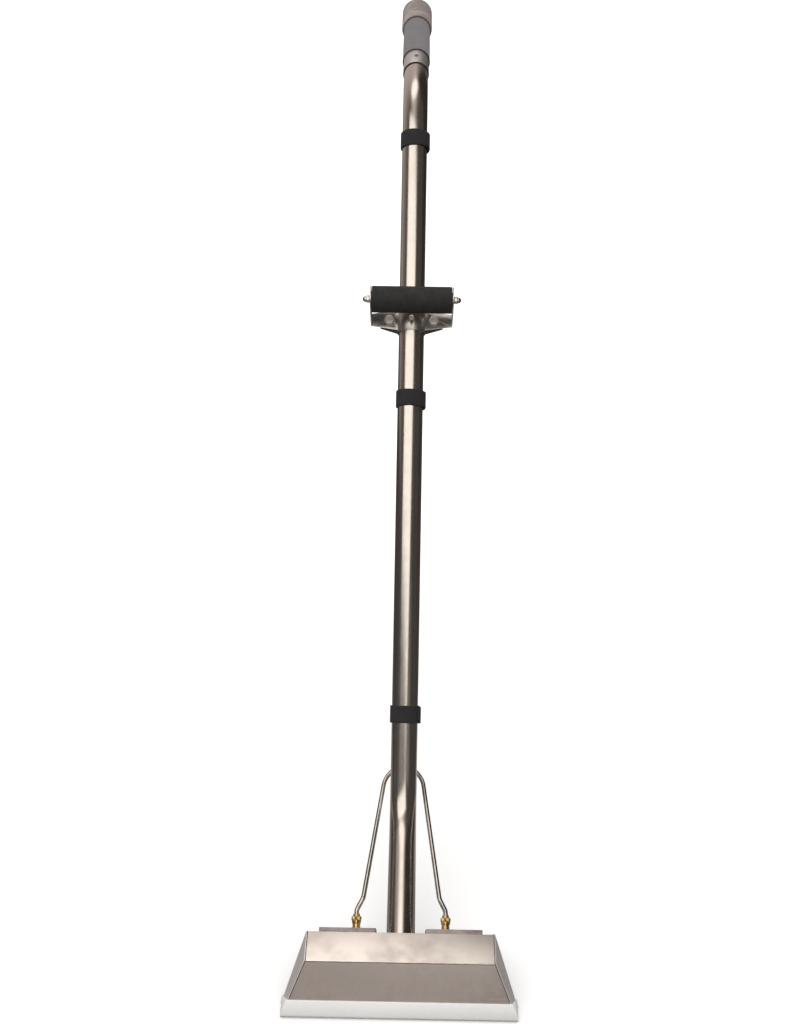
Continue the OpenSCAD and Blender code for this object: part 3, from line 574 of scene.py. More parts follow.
class Finishes:
    """Every finish on the wand."""

    polished_tube = Finish("polished_tube", "brushed_steel", (0.82, 0.76, 0.70), (0.74, 0.68, 0.62), 1.0,
                           0.19, 0.05, 12.0, 0.5, scratch=0.12, scratch_scale=900.0, turn=(30.0, 0.0, 90.0))
    head_steel = Finish("head_steel", "brushed_steel", (0.93, 0.87, 0.82), (0.64, 0.57, 0.54), 1.0,
                        0.30, 0.10, 13.0, 0.65, brush=0.03, scratch=0.45, scratch_scale=500.0)
    end_steel = Finish("end_steel", "brushed_steel", (0.95, 0.90, 0.87), (0.72, 0.67, 0.65), 0.70,
                       0.44, 0.10, 40.0, 0.5, brush=0.04)
    dark_steel = Finish("dark_steel_sheet", "dark_steel", (0.36, 0.32, 0.32), (0.24, 0.21, 0.21), 1.0,
                        0.34, 0.10, 50.0, 0.5, brush=0.04)
    # Dark weld metal; also the colour of the painted shadow line along the front crease.
    weld = Finish("weld_and_fold_shadow", "brushed_steel", (0.24, 0.21, 0.21), (0.12, 0.10, 0.10), 1.0,
                  0.28, 0.2, 120.0, 0.8)
    bright_steel = Finish("bright_steel", "bright_steel", (0.80, 0.77, 0.73), (0.66, 0.63, 0.60), 1.0,
                          0.16, 0.08, 60.0, 0.5, scratch=0.08, scratch_scale=900.0)
    clamp_steel = Finish("clamp_steel", "bright_steel", (0.82, 0.78, 0.74), (0.60, 0.57, 0.54), 1.0,
                         0.27, 0.10, 45.0, 0.6, scratch=0.15, scratch_scale=800.0)
    satin_steel = Finish("satin_steel", "brushed_steel", (0.74, 0.70, 0.66), (0.60, 0.56, 0.53), 1.0,
                         0.28, 0.10, 40.0, 0.5, brush=0.04)
    collar_steel = Finish("collar_steel", "brushed_steel", (0.93, 0.90, 0.88), (0.80, 0.77, 0.75), 1.0,
                          0.50, 0.08, 40.0, 0.5, brush=0.04)
    zinc = Finish("zinc_plate", "bright_steel", (0.90, 0.88, 0.84), (0.72, 0.70, 0.66), 0.45,
                  0.34, 0.10, 80.0, 0.5)
    brass = Finish("turned_brass", "brass", (0.98, 0.74, 0.30), (0.76, 0.53, 0.20), 1.0,
                   0.28, 0.12, 90.0, 0.6)
    # The glide's colour darkens towards its foot as painted shade.
    glide_white = Finish("glide_plastic", "glide_plastic", (0.90, 0.90, 0.885), (0.74, 0.73, 0.72), 0.0,
                         0.34, 0.12, 30.0, 0.25, foot_shade=0.6, scratch=0.2, scratch_scale=500.0,
                         scratch_colour=(0.72, 0.70, 0.68), coat=0.1)
    foam = Finish("foam_rubber", "black_foam", (0.046, 0.042, 0.040), (0.026, 0.024, 0.024), 0.0,
                  0.85, 0.1, 60.0, 0.6, pore=0.9, pore_scale=850.0, sheen=0.03)
    # Black rubber; also the colour of the painted shadow rings at the ends of the grip and the collar.
    black_rubber = Finish("black_rubber", "black_rubber", (0.030, 0.028, 0.029), (0.018, 0.017, 0.018), 0.0,
                          0.45, 0.15, 50.0, 0.5, coat=0.05)
    thin_steel = Finish("thin_steel", "brushed_steel", (0.78, 0.74, 0.70), (0.52, 0.49, 0.46), 1.0,
                        0.17, 0.10, 70.0, 0.6, scratch=0.1, scratch_scale=900.0)
    webbing = Finish("strap_webbing", "black_webbing", (0.022, 0.020, 0.022), (0.013, 0.012, 0.013), 0.0,
                     0.9, 0.08, 80.0, 0.5, sheen=0.05, weave=1.0)
    # Near-black, partly painted shade: only the rear clamp's shaded lower edge shows.
    black_paint = Finish("black_paint", "black_paint", (0.030, 0.028, 0.028), (0.018, 0.017, 0.017), 0.0,
                         0.32, 0.15, 40.0, 0.5, scratch=0.15, scratch_scale=700.0,
                         scratch_colour=(0.25, 0.24, 0.23), coat=0.2)
    grip_rubber = Finish("grip_rubber", "grip_rubber", (0.165, 0.146, 0.152), (0.125, 0.110, 0.115), 0.0,
                         0.7, 0.15, 30.0, 0.6, gloss=0.05, sheen=0.35)
    cuff_plastic = Finish("cuff_plastic", "cuff_plastic", (0.46, 0.405, 0.388), (0.17, 0.12, 0.10), 0.0,
                          0.42, 0.14, 26.0, 0.62, gloss=0.15, scratch=0.12, scratch_scale=500.0,
                          scratch_colour=(0.62, 0.56, 0.52))
    core_plastic = Finish("core_plastic", "core_plastic", (0.04, 0.04, 0.042), (0.03, 0.03, 0.03), 0.0,
                          0.4, 0.1, 40.0, 0.5)
    nylon = Finish("bush_nylon", "bush_nylon", (0.75, 0.73, 0.66), (0.62, 0.6, 0.54), 0.0,
                   0.4, 0.1, 60.0, 0.5)


# ---- Mesh work ----


@dataclass(frozen=True)
class Route:
    """A centre line through corner points, each rounded with its own radius.

    Attributes:
        corners: Corner points in metres.
        bends: Radius at each corner in millimetres; the first and last aren't used.
    """

    corners: Sequence[Vector]
    bends: Sequence[float]

    def points(self, stride: float, turn: float) -> list[Vector]:
        """Lists points along the line.

        Args:
            stride: Distance between points on a straight, in millimetres.
            turn: Angle between points in a bend, in degrees.

        Returns:
            The points, in metres.
        """
        line = [self.corners[0].copy()]
        triples = zip(self.corners, self.corners[1:], self.corners[2:])
        for (before, corner, after), bend in zip(triples, self.bends[1:]):
            way, onward = (corner - before).normalized(), (after - corner).normalized()
            angle = way.angle(onward)
            leg = bend * MM * math.tan(angle / 2)
            axis = way.cross(onward).normalized()
            centre = corner - way * leg + axis.cross(way) * bend * MM
            self._straight(line, corner - way * leg, stride)
            steps = max(2, math.ceil(math.degrees(angle) / turn))
            spoke = line[-1] - centre
            turns = (Matrix.Rotation(angle * k / steps, 3, axis) for k in range(1, steps + 1))
            line.extend(centre + rotation @ spoke for rotation in turns)
        self._straight(line, self.corners[-1], stride)
        return line

    @staticmethod
    def _straight(line: list[Vector], end: Vector, stride: float) -> None:
        """Adds a straight stretch to a line.

        Args:
            line: Points so far, in metres.
            end: Where the stretch ends.
            stride: Distance between its points in millimetres.
        """
        start = line[-1]
        steps = max(1, math.ceil((end - start).length / (stride * MM)))
        line.extend(start.lerp(end, k / steps) for k in range(1, steps + 1))

    @staticmethod
    def length(line: Sequence[Vector]) -> float:
        """Length of a list of points in metres."""
        return sum((after - before).length for before, after in zip(line, line[1:]))


def place_mesh(name: str, mesh: bpy.types.Mesh, material: bpy.types.Material) -> bpy.types.Object:
    """Makes an object of a mesh and puts it in the scene.

    Args:
        name: Name of the object.
        mesh: Its mesh.
        material: Its material.

    Returns:
        The object.
    """
    mesh.materials.append(material)
    made = bpy.data.objects.new(name, mesh)
    bpy.context.scene.collection.objects.link(made)
    return made


class Shape:
    """A mesh in the making, in the row frame, with the operators that shape it."""

    def __init__(self) -> None:
        """Starts with nothing."""
        self.bm = bmesh.new()

    def lathe(self, frame: Matrix, profile: Iterable[Pair], sides: int) -> Shape:
        """Turns a profile round a frame's Z.

        Args:
            frame: The frame.
            profile: Points of (radius, height) in millimetres.
            sides: Number of faces round it.

        Returns:
            This shape.
        """
        verts = [self.bm.verts.new(frame @ (Vector((out, 0, height)) * MM)) for out, height in profile]
        edges = [self.bm.edges.new(pair) for pair in zip(verts, verts[1:])]
        axis = frame.to_3x3() @ Vector((0, 0, 1))
        bmesh.ops.spin(self.bm, geom=verts + edges, cent=frame.translation, axis=axis, dvec=(0, 0, 0),
                       angle=math.tau, steps=sides, use_merge=True)
        return self

    def warp(self, frame: Matrix, change: Callable[[Vector, float, float], Pair], first: int = 0) -> Shape:
        """Moves points nearer to a frame's Z or further from it, and along it.

        Args:
            frame: The frame.
            change: Gives a point's new distance from Z and its new height, from its place in the
                frame, its distance from Z and its turn round Z, in millimetres and radians.
            first: Number of the first point that is moved.

        Returns:
            This shape.
        """
        back = frame.inverted()
        self.bm.verts.ensure_lookup_table()
        for vert in self.bm.verts[first:]:
            spot = back @ vert.co / MM
            turn = math.atan2(spot.y, spot.x)
            out, height = change(spot, math.hypot(spot.x, spot.y), turn)
            vert.co = frame @ (Vector((out * math.cos(turn), out * math.sin(turn), height)) * MM)
        return self

    def sweep(self, line: Sequence[Vector], outer: float, inner: float, sides: int,
              swell: Callable[[float], float] = lambda at: 0.0) -> Shape:
        """Draws a hollow round bar along a line.

        Args:
            line: Points of its centre line, in metres.
            outer: Outer radius in millimetres.
            inner: Radius of its bore in millimetres.
            sides: Faces round it.
            swell: Gives what is added to the outer radius at a distance along it, both in millimetres.

        Returns:
            This shape.
        """
        heads = [(after - before).normalized() for before, after in zip(line, line[1:])]
        ways = [(a + b).normalized() for a, b in zip(heads[:1] + heads, heads + heads[-1:])]
        side = ways[0].orthogonal().normalized()
        turns = [math.tau * k / sides for k in range(sides)]
        rings: list[list[list]] = []
        gone = 0.0
        for index, (spot, way) in enumerate(zip(line, ways)):
            side = (side - way * side.dot(way)).normalized()
            up = way.cross(side)
            gone += (spot - line[index - 1]).length / MM if index else 0.0
            spokes = [side * math.cos(turn) + up * math.sin(turn) for turn in turns]
            rings.append([[self.bm.verts.new(spot + spoke * radius * MM) for spoke in spokes]
                          for radius in (outer + swell(gone), inner)])
        for (outside, inside), (next_outside, next_inside) in zip(rings, rings[1:]):
            self.skin(outside, next_outside)
            self.skin(next_inside, inside)
        self.skin(*reversed(rings[0]))
        self.skin(*rings[-1])
        return self

    def skin(self, first: list, second: list) -> None:
        """Joins two rings of points with a band of faces.

        Args:
            first: Points of one ring.
            second: Points of the other, as many and in the same order.
        """
        pairs = list(zip(first, second))
        for (low, high), (next_low, next_high) in zip(pairs, pairs[1:] + pairs[:1]):
            self.bm.faces.new((low, next_low, next_high, high))

    def tidy(self) -> Shape:
        """Merges doubled points and turns every face outwards.

        Returns:
            This shape.
        """
        bmesh.ops.remove_doubles(self.bm, verts=self.bm.verts, dist=1e-7)
        bmesh.ops.recalc_face_normals(self.bm, faces=self.bm.faces)
        return self

    def bevel(self, width: float, segments: int, degrees: float) -> Shape:
        """Rounds the sharp edges.

        Args:
            width: Width of the rounding in millimetres.
            segments: Number of faces across it.
            degrees: Angle from which an edge counts as sharp.

        Returns:
            This shape.
        """
        limit = math.radians(degrees)
        edges = [edge for edge in self.bm.edges if edge.is_manifold and edge.calc_face_angle(0.0) > limit]
        bmesh.ops.bevel(self.bm, geom=edges, offset=width * MM, offset_type="OFFSET", segments=segments,
                        profile=0.5, affect="EDGES", clamp_overlap=True, material=-1)
        return self

    def piece(self, name: str, finish: Finish, *replaced: str, body: Body = Body.WAND,
              angle: float = 32.0) -> bpy.types.Object:
        """Makes the object, dresses it and lets it ride on its body.

        Args:
            name: Name of the piece.
            finish: Finish that covers it.
            *replaced: CAD nodes that it stands for.
            body: CAD body that it moves with.
            angle: Angle in degrees above which an edge stays crisp.

        Returns:
            The new object.
        """
        mesh = bpy.data.meshes.new(name)
        self.bm.to_mesh(mesh)
        self.bm.free()
        mesh.shade_smooth()
        mesh.set_sharp_from_angle(angle=math.radians(angle))
        piece = place_mesh(name, mesh, finish.build())
        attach(piece, body.value)
        if replaced:
            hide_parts(*replaced)
        LOG.info("%s: %d faces", name, len(mesh.polygons))
        return piece


@dataclass
class Workshop:
    """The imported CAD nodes, and the work done on copies of them."""

    nodes: dict[str, bpy.types.Object]
    merge: float = 2e-6
    flat: float = 0.6

    def refine(self, node: str, finish: Finish, width: float, segments: int = 2, degrees: float = 28.0,
               body: Body = Body.WAND) -> bpy.types.Object:
        """Stands a copy of a CAD node in for it, with flat faces made whole and edges softly rounded.

        Args:
            node: Name of the CAD node.
            finish: Finish that covers it.
            width: Rounding of its edges in millimetres.
            segments: Number of faces across the rounding.
            degrees: Angle from which an edge is rounded.
            body: CAD body that it moves with.

        Returns:
            The new object.
        """
        shape = Shape()
        bm = shape.bm
        bm.from_mesh(self.nodes[node].data)
        bmesh.ops.remove_doubles(bm, verts=bm.verts, dist=self.merge)
        bmesh.ops.dissolve_limit(bm, angle_limit=math.radians(self.flat), verts=bm.verts, edges=bm.edges)
        if width:
            shape.bevel(width, segments, degrees)
        return shape.piece(node + "_piece", finish, node, body=body)

    def refine_all(self, finish: Finish, width: float, *nodes: str, body: Body = Body.WAND) -> None:
        """Refines several CAD nodes alike, as refine() does one."""
        for node in nodes:
            self.refine(node, finish, width, body=body)


# ---- Sub-assemblies ----


@dataclass
class VacuumTube:
    """The bent steel tube and the weld that holds it to the head."""

    sides: int = 112
    stub: float = 50.0
    stride: float = 4.0
    bend_step: float = 2.3
    ease: int = 60
    bead: float = 1.7
    bead_sides: int = 12
    bead_rounds: int = 160
    ripples: int = 46
    ripple: float = 0.12
    lump: float = 0.10
    lump_scale: float = 0.16

    def _line(self) -> list[Vector]:
        """Lays out the centre line, with the start and end of each bend eased as a drawn bend's are.

        Returns:
            Its points in metres.
        """
        corners = [WAND.on_lower(-WAND.lower_length - self.stub).translation, WAND.on_main().translation,
                   WAND.on_upper().translation, WAND.on_upper(WAND.tube_end).translation]
        line = Route(corners, [WAND.bend_radius] * len(corners)).points(self.stride, self.bend_step)
        for _ in range(self.ease):
            eased = [b.lerp((a + c) / 2, 0.5) for a, b, c in zip(line, line[1:], line[2:])]
            line = line[:1] + eased + line[-1:]
        return line

    def tube(self) -> None:
        """Builds the tube with its wall, cut to the head's rear panel."""
        shape = Shape().sweep(self._line(), WAND.tube_radius, WAND.tube_radius - WAND.wall, self.sides)
        bm = shape.bm
        panel = Vector((0, *WAND.crown)) * MM
        slope = Vector((0, *heading(WAND.rear_slope + 90)))
        stub = [face for face in bm.faces if face.calc_center_median().y < WAND.low.x * MM]
        parts = {part for face in stub for part in (*face.verts, *face.edges)}
        bmesh.ops.bisect_plane(bm, geom=[*parts, *stub], plane_co=panel, plane_no=slope, clear_outer=True)
        bmesh.ops.bridge_loops(bm, edges=[edge for edge in bm.edges if edge.is_boundary])
        shape.tidy().piece("wand_tube", Finishes.polished_tube, "vacuum_tube", angle=40.0)

    @property
    def reach(self) -> float:
        """Distance of the bead's middle from the tube's centre line."""
        return WAND.tube_radius + 0.5 * self.bead

    def _lay_bead(self, spot: Vector, out: float, turn: float) -> Pair:
        """Ripples the bead and slants it along the rear panel.

        Args:
            spot: Place of a point in the frame at the tube's foot.
            out: Its distance from the tube's centre line.
            turn: Its turn round that line, in radians.

        Returns:
            Its new distance and its height.
        """
        slant = math.tan(math.radians(90 - (WAND.rear_slope - WAND.end_rise)))
        lump = self.lump * noise.noise(Vector((spot.x, spot.y, 0)) * self.lump_scale)
        ripple = 1.0 + self.ripple * math.sin(self.ripples * turn) + lump
        ring = self.reach + (out - self.reach) * ripple
        return ring, spot.z * ripple - (ring * math.sin(turn) + WAND.axis_drop) * slant

    def weld(self) -> None:
        """Builds the ripple of weld metal round the tube's foot."""
        frame = WAND.on_lower(-WAND.lower_length)
        profile = arc((self.reach, 0.0), self.bead, 0, 360, self.bead_sides)
        shape = Shape().lathe(frame, profile, self.bead_rounds).tidy()
        shape.warp(frame, self._lay_bead).piece("tube_weld", Finishes.weld)

    def build(self) -> None:
        """Builds every piece."""
        self.tube()
        self.weld()


@dataclass
class SuctionHead:
    """The welded sheet head, its glide and the glide's screws."""

    shop: Workshop
    half_width: float = 123.0
    flare: float = 30.0
    seam: float = 0.55
    seam_lump: float = 0.12
    seam_foot: float = 0.97
    seam_sides: int = 10
    # Radius, drop below the nose and sides of the dark painted shadow line along the front crease.
    fold_shadow: float = 0.5
    fold_shadow_drop: float = 0.02
    fold_shadow_sides: int = 8
    bore: float = 0.1
    steps: int = 24

    def seams_and_fold_shadow(self) -> None:
        """Draws the thin dark weld lines along the end plates, and a dark line just below the nose as painted
        shadow along the crease between the front and top panels.
        """
        shape = Shape()
        lean = math.sin(math.radians(WAND.front_slope - WAND.end_rise))
        foot = WAND.nose.lerp(Vector(WAND.foot), self.seam_foot)
        wide = self.half_width + lean * math.tan(math.radians(self.flare)) * (foot - WAND.nose).length
        marks = ((self.half_width, WAND.crown), (self.half_width, WAND.nose), (wide, foot))
        for side in (-1, 1):
            corners = [Vector((side * x, *spot)) * MM for x, spot in marks]
            for first, second in zip(corners, corners[1:]):
                line = [first.lerp(second, k / self.steps) for k in range(self.steps + 1)]
                shape.sweep(line, self.seam, self.bore, self.seam_sides,
                            lambda at: self.seam_lump * noise.noise(Vector((at * 0.7, 3.0, 1.0))))
        # Painted shadow: a dark bead laid just below the nose, standing in for the shade under the crease.
        below = WAND.nose.lerp(Vector(WAND.foot), self.fold_shadow_drop)
        fold_shadow = [Vector((self.half_width * (k / self.steps - 1), *below)) * MM
                for k in range(2 * self.steps + 1)]
        shape.sweep(fold_shadow, self.fold_shadow, self.bore, self.fold_shadow_sides)
        shape.tidy().piece("head_seams_and_fold_shadow", Finishes.weld)

    def build(self) -> None:
        """Builds every piece."""
        self.seams_and_fold_shadow()
        self.shop.refine("head_front_panel", Finishes.head_steel, 0.8, 4)
        self.shop.refine("head_rear_panel", Finishes.head_steel, 0.3)
        self.shop.refine_all(Finishes.end_steel, 0.3, "head_end_plate_left",
                             "head_end_plate_right")
        self.shop.refine("glide", Finishes.glide_white, 0.5, 2, 35.0)
        self.shop.refine("glide_screws", Finishes.bright_steel, 0.2)


@dataclass
class SprayGear:
    """The hoods, jets, thin tubes and the tee that feeds them."""

    shop: Workshop
    tube_radius: float = 3.175
    tube_bore: float = 2.3
    hose_bore: float = 3.25
    sides: int = 40
    tube_steps: Pair = (5.0, 3.0)
    hose_steps: Pair = (6.0, 4.0)
    jet_sides: int = 64
    jet_profile: tuple[Pair, ...] = (
        (3.0, -22.0), (4.0, -22.0), (4.3, -21.7), (4.3, -15.0), (5.0, -15.0), (5.0, 0.0), (6.5, 0.0),
        (6.5, 1.0), (5.8, 1.25), (5.8, 2.2), (4.7, 2.5), (4.7, 3.0), (5.65, 3.3), (5.65, 4.2), (4.6, 4.5),
        (4.6, 5.0), (5.4, 5.3), (5.4, 6.4), (4.9, 6.8), (4.3, 6.8), (4.3, 15.0), (3.2, 15.0), (3.2, 8.0),
        (1.8, 8.0), (1.8, 0.0), (3.0, 0.0), (3.0, -22.0))
    nut_profile: tuple[Pair, ...] = (
        (4.35, 7.4), (5.9, 7.4), (6.5, 7.9), (6.5, 10.4), (6.1, 10.7), (6.1, 11.1), (6.5, 11.4),
        (6.6, 12.4), (6.6, 15.2), (6.3, 16.1), (5.6, 16.6), (4.9, 16.8), (4.6, 17.3), (4.6, 19.4),
        (4.3, 19.8), (3.3, 19.8), (3.3, 17.2), (4.35, 17.2), (4.35, 7.4))
    nut_core: float = 5.0
    nut_flat: float = 5.95
    knurl_from: float = 11.2
    knurl_depth: float = 0.16
    knurls: int = 36

    def thin_tube(self, side: str, flip: Matrix) -> None:
        """Draws one thin steel tube.

        Args:
            side: Which tube, left or right.
            flip: Turns the right tube's route into this one's.
        """
        line = [flip @ point for point in PIPES.thin_tube().points(*self.tube_steps)]
        shape = Shape().sweep(line, self.tube_radius, self.tube_bore, self.sides)
        name = "solution_tube_" + side
        shape.tidy().piece(name + "_piece", Finishes.thin_steel, name, angle=60.0)

    def jet_body(self, side: str, x: float) -> None:
        """Turns one jet's brass body, with the ring grooves of its neck.

        Args:
            side: Which jet, left or right.
            x: Place of the jet across the head.
        """
        shape = Shape().lathe(WAND.on_jet(x), self.jet_profile, self.jet_sides)
        shape.tidy().piece("jet_" + side, Finishes.brass, "jet_body_" + side, angle=35.0)

    def _cut_nut(self, spot: Vector, out: float, turn: float) -> Pair:
        """Knurls the upper band of a tube nut and cuts the hexagon below it.

        Args:
            spot: Place of a point in the jet's frame.
            out: Its distance from the jet's axis.
            turn: Its turn round the axis, in radians.

        Returns:
            Its new distance and its height.
        """
        if out > self.nut_core and spot.z > self.knurl_from:
            out += self.knurl_depth * math.cos(self.knurls * turn)
        elif out > self.nut_core:
            facet = (turn + math.pi / 6) % (math.pi / 3) - math.pi / 6
            out = min(out, self.nut_flat / math.cos(facet))
        return out, spot.z

    def jet_nuts(self) -> None:
        """Makes the two tube nuts: a knurled band with rounded shoulders and a hexagon below."""
        shape = Shape()
        for x in (-PIPES.jet_x, PIPES.jet_x):
            frame = WAND.on_jet(x)
            first = len(shape.bm.verts)
            shape.lathe(frame, self.nut_profile, 4 * self.knurls).warp(frame, self._cut_nut, first)
        shape.tidy().piece("jet_nuts", Finishes.brass, "jet_tube_nuts", angle=30.0)

    def hose(self) -> None:
        """Lays the black solution hose under the tube, from the tee back into the wand."""
        line = PIPES.hose().points(*self.hose_steps)
        shape = Shape().sweep(line, PIPES.hose_radius, self.hose_bore, self.sides)
        piece = shape.tidy().piece("hose_line", Finishes.black_rubber, "solution_hose", angle=60.0)
        round(Route.length(line), 4)

    def build(self) -> None:
        """Builds every piece."""
        shop = self.shop
        for side in ("left", "right"):
            shop.refine("spray_hood_" + side, Finishes.dark_steel, 0.35)
            shop.refine("nozzle_tip_" + side, Finishes.satin_steel, 0.15)
        self.thin_tube("left", Matrix.Scale(-1, 4, (1, 0, 0)))
        self.thin_tube("right", Matrix())
        self.jet_body("left", -PIPES.jet_x)
        self.jet_body("right", PIPES.jet_x)
        self.jet_nuts()
        self.hose()
        shop.refine_all(Finishes.brass, 0.25, "jet_locknuts", "nozzle_caps", "jet_ferrules",
                        "solution_tee", "tee_nuts", "tee_ferrules", "hose_fitting_lower",
                        "hose_fitting_upper")
        shop.refine("jet_strainers", Finishes.satin_steel, 0.0)
        shop.refine("tee_bracket", Finishes.satin_steel, 0.3)
        shop.refine("tee_screw", Finishes.bright_steel, 0.15)
        shop.refine("hose_crimps", Finishes.bright_steel, 0.3)


@dataclass
class Straps:
    """The hook-and-loop straps that hold the solution hose to the tube."""

    places: tuple[tuple[str, float, float], ...] = (
        ("lower", 153.0, 1.0), ("middle", 620.0, 1.8), ("top", 1024.0, 2.6))
    width: float = 25.0
    thick: float = 2.2
    gap: float = 0.35
    sway: float = 0.35
    swell: float = 0.25
    tail: Pair = (-33.0, 40.0)
    tail_steps: int = 26
    tail_tip: float = 0.16
    tail_narrowing: float = 0.20
    tail_inset: float = 1.0
    tail_thinning: float = 0.9
    tail_shift: float = 0.4
    tail_press: float = 0.25

    @staticmethod
    def _loop(out: float) -> list[Vector]:
        """Lays a closed line round the tube and the hose.

        Args:
            out: Distance from both in millimetres.

        Returns:
            Its points in the run's XY plane.
        """
        wide, narrow = WAND.tube_radius + out, PIPES.hose_radius + out
        lean = math.degrees(math.asin((wide - narrow) / PIPES.hose_off))
        line = arc((0.0, 0.0), wide, lean, -180.0 - lean, 64)
        line += arc((0.0, PIPES.hose_off), narrow, 180.0 - lean, lean, 20)
        return [Vector((*spot, 0)) for spot in line]

    @staticmethod
    def _section(wide: float, thick: float, stride: float = 3.0) -> list[Pair]:
        """Rounded outline of the webbing.

        Args:
            wide: Its width in millimetres.
            thick: Its thickness in millimetres.
            stride: Least distance between points on its flat faces.

        Returns:
            Points of (out, along) from its middle.
        """
        flank = (wide - thick) / 2
        ends = arc((0.0, flank), thick / 2, 0, 180, 6) + arc((0.0, -flank), thick / 2, 180, 360, 6)
        outline = []
        for first, second in zip(ends, ends[1:] + ends[:1]):
            steps = max(1, int(abs(second[1] - first[1]) / stride))
            shares = [k / steps for k in range(steps)]
            outline += [(first[0] + (second[0] - first[0]) * share, first[1] + (second[1] - first[1]) * share)
                        for share in shares]
        return outline

    def _band(self, shape: Shape, line: Sequence[Vector], frame: Matrix, closed: bool, thick: float,
              shift: Callable[[float], float], wide: Callable[[float], float]) -> None:
        """Draws webbing along a line, and notes on each point how far along and across it lies.

        Args:
            shape: Shape that it is added to.
            line: Points of its middle in the frame's XY plane, in millimetres.
            frame: Frame on the tube.
            closed: Whether the webbing meets its own start.
            thick: Thickness in millimetres.
            shift: Gives its shift along the tube from the share of the line that lies behind.
            wide: Gives its width from that share.
        """
        layers = shape.bm.verts.layers.float_vector
        weave = layers.get("weave") or layers.new("weave")
        rings, gone = [], 0.0
        count = len(line)
        for index, spot in enumerate(line):
            before = line[index - 1] if closed or index else spot
            after = line[(index + 1) % count] if closed or index < count - 1 else spot
            way = (after - before).normalized()
            out = Vector((-way.y, way.x, 0))
            if out.dot(spot - Vector((0, PIPES.hose_off / 3, 0))) < 0:
                out = -out
            share = index / (count - 1)
            middle = spot + Vector((0, 0, shift(share)))
            ring = []
            for away, along in self._section(wide(share), thick):
                vert = shape.bm.verts.new(frame @ ((middle + out * away + Vector((0, 0, along))) * MM))
                vert[weave] = Vector((gone, along, away))
                ring.append(vert)
            rings.append(ring)
            gone += (line[(index + 1) % count] - spot).length
        for first, second in zip(rings, rings[1:] + (rings[:1] if closed else [])):
            shape.skin(first, second)
        if not closed:
            shape.bm.faces.new(rings[0])
            shape.bm.faces.new(list(reversed(rings[-1])))

    def _tail_width(self, share: float) -> float:
        """Width of the tail, which is rounded off at its tip."""
        tip = 1 - math.sqrt(1 - (1 - min(1.0, share / self.tail_tip)) ** 2)
        return (self.width - self.tail_inset) * (1 - self.tail_narrowing * tip)

    def strap(self, name: str, place: float, skew: float) -> None:
        """Wraps one strap: its closed band, and its tail laid over it on the right.

        Args:
            name: Which strap.
            place: Its place along the main run.
            skew: How far its tail slants down the tube.
        """
        shape = Shape()
        frame = WAND.on_main(place)
        self._band(shape, self._loop(self.gap + self.thick / 2), frame, True, self.thick,
                   lambda share: self.sway * math.sin(math.tau * share + place),
                   lambda share: self.width + self.swell * math.sin(3 * math.tau * share + place))
        lift = WAND.tube_radius + self.gap + self.thick * 1.5 - self.tail_press
        tail = [Vector((*spot, 0)) for spot in arc((0.0, 0.0), lift, *self.tail, self.tail_steps)]
        self._band(shape, tail, frame, False, self.thick * self.tail_thinning,
                   lambda share: -self.tail_shift - skew * share, self._tail_width)
        bmesh.ops.recalc_face_normals(shape.bm, faces=shape.bm.faces)
        shape.piece("strap_webbing_" + name, Finishes.webbing, "strap_" + name, angle=50.0)

    def build(self) -> None:
        """Builds every piece."""
        for name, place, skew in self.places:
            self.strap(name, place, skew)


@dataclass
class FrontHandle:
    """The sliding clamp with its two ears and the foam roller."""

    shop: Workshop
    at: float = 741.0
    front: float = 60.0
    rise: float = 16.0
    half: float = 59.0
    outer: float = 19.7
    inner: float = 12.55
    rounding: float = 1.6
    chamfer: float = 0.4
    steps: int = 40
    sides: int = 160
    skin_from: float = 16.0
    skin_sink: float = 0.1
    lumps: tuple[Pair, Pair] = ((0.12, 0.09), (0.06, 0.42))

    def _roughen(self, spot: Vector, out: float, turn: float) -> Pair:
        """Makes the outside uneven and leaves the bore as it is."""
        lump = sum(height * noise.noise(spot * scale) for height, scale in self.lumps) - self.skin_sink
        return (out + lump if out > self.skin_from else out), spot.z

    def roller(self) -> None:
        """Builds the foam sleeve, with the slight unevenness of its skin."""
        place = Matrix.Translation((0, -self.front * MM, self.rise * MM))
        frame = WAND.on_main(self.at) @ place @ Matrix.Rotation(math.pi / 2, 4, "Y")
        low = [(self.inner, self.chamfer - self.half), (self.inner + self.chamfer, -self.half)]
        high = [(self.inner + self.chamfer, self.half), (self.inner, self.half - self.chamfer)]
        straight = self.half - self.rounding
        side = [(self.outer, straight * (2 * k / self.steps - 1)) for k in range(1, self.steps)]
        profile = [*low, *rim(self.outer, -self.half, self.rounding, False), *side,
                   *rim(self.outer, self.half, self.rounding, True), *high, low[0]]
        shape = Shape().lathe(frame, profile, self.sides).tidy().warp(frame, self._roughen)
        piece = shape.piece("handle_roller", Finishes.foam, "roller_foam", body=Body.ROLLER, angle=50.0)

    def build(self) -> None:
        """Builds every piece."""
        shop = self.shop
        shop.refine("handle_front_clamp", Finishes.clamp_steel, 0.35, body=Body.HANDLE)
        # The rear clamp's near-black colour is partly painted shade.
        shop.refine("handle_rear_clamp", Finishes.black_paint, 0.35, body=Body.HANDLE)
        shop.refine("clamp_bolts", Finishes.zinc, 0.7, 3, body=Body.HANDLE)
        shop.refine("saddle_rivet", Finishes.zinc, 0.7, 3, body=Body.HANDLE)
        shop.refine_all(Finishes.bright_steel, 0.35, "clamp_washers", "clamp_nuts", "roller_axle",
                        "axle_washers", "axle_acorn_nuts", body=Body.HANDLE)
        shop.refine("roller_core", Finishes.core_plastic, 0.3, body=Body.ROLLER)
        shop.refine("roller_bushes", Finishes.nylon, 0.2, body=Body.ROLLER)
        self.roller()


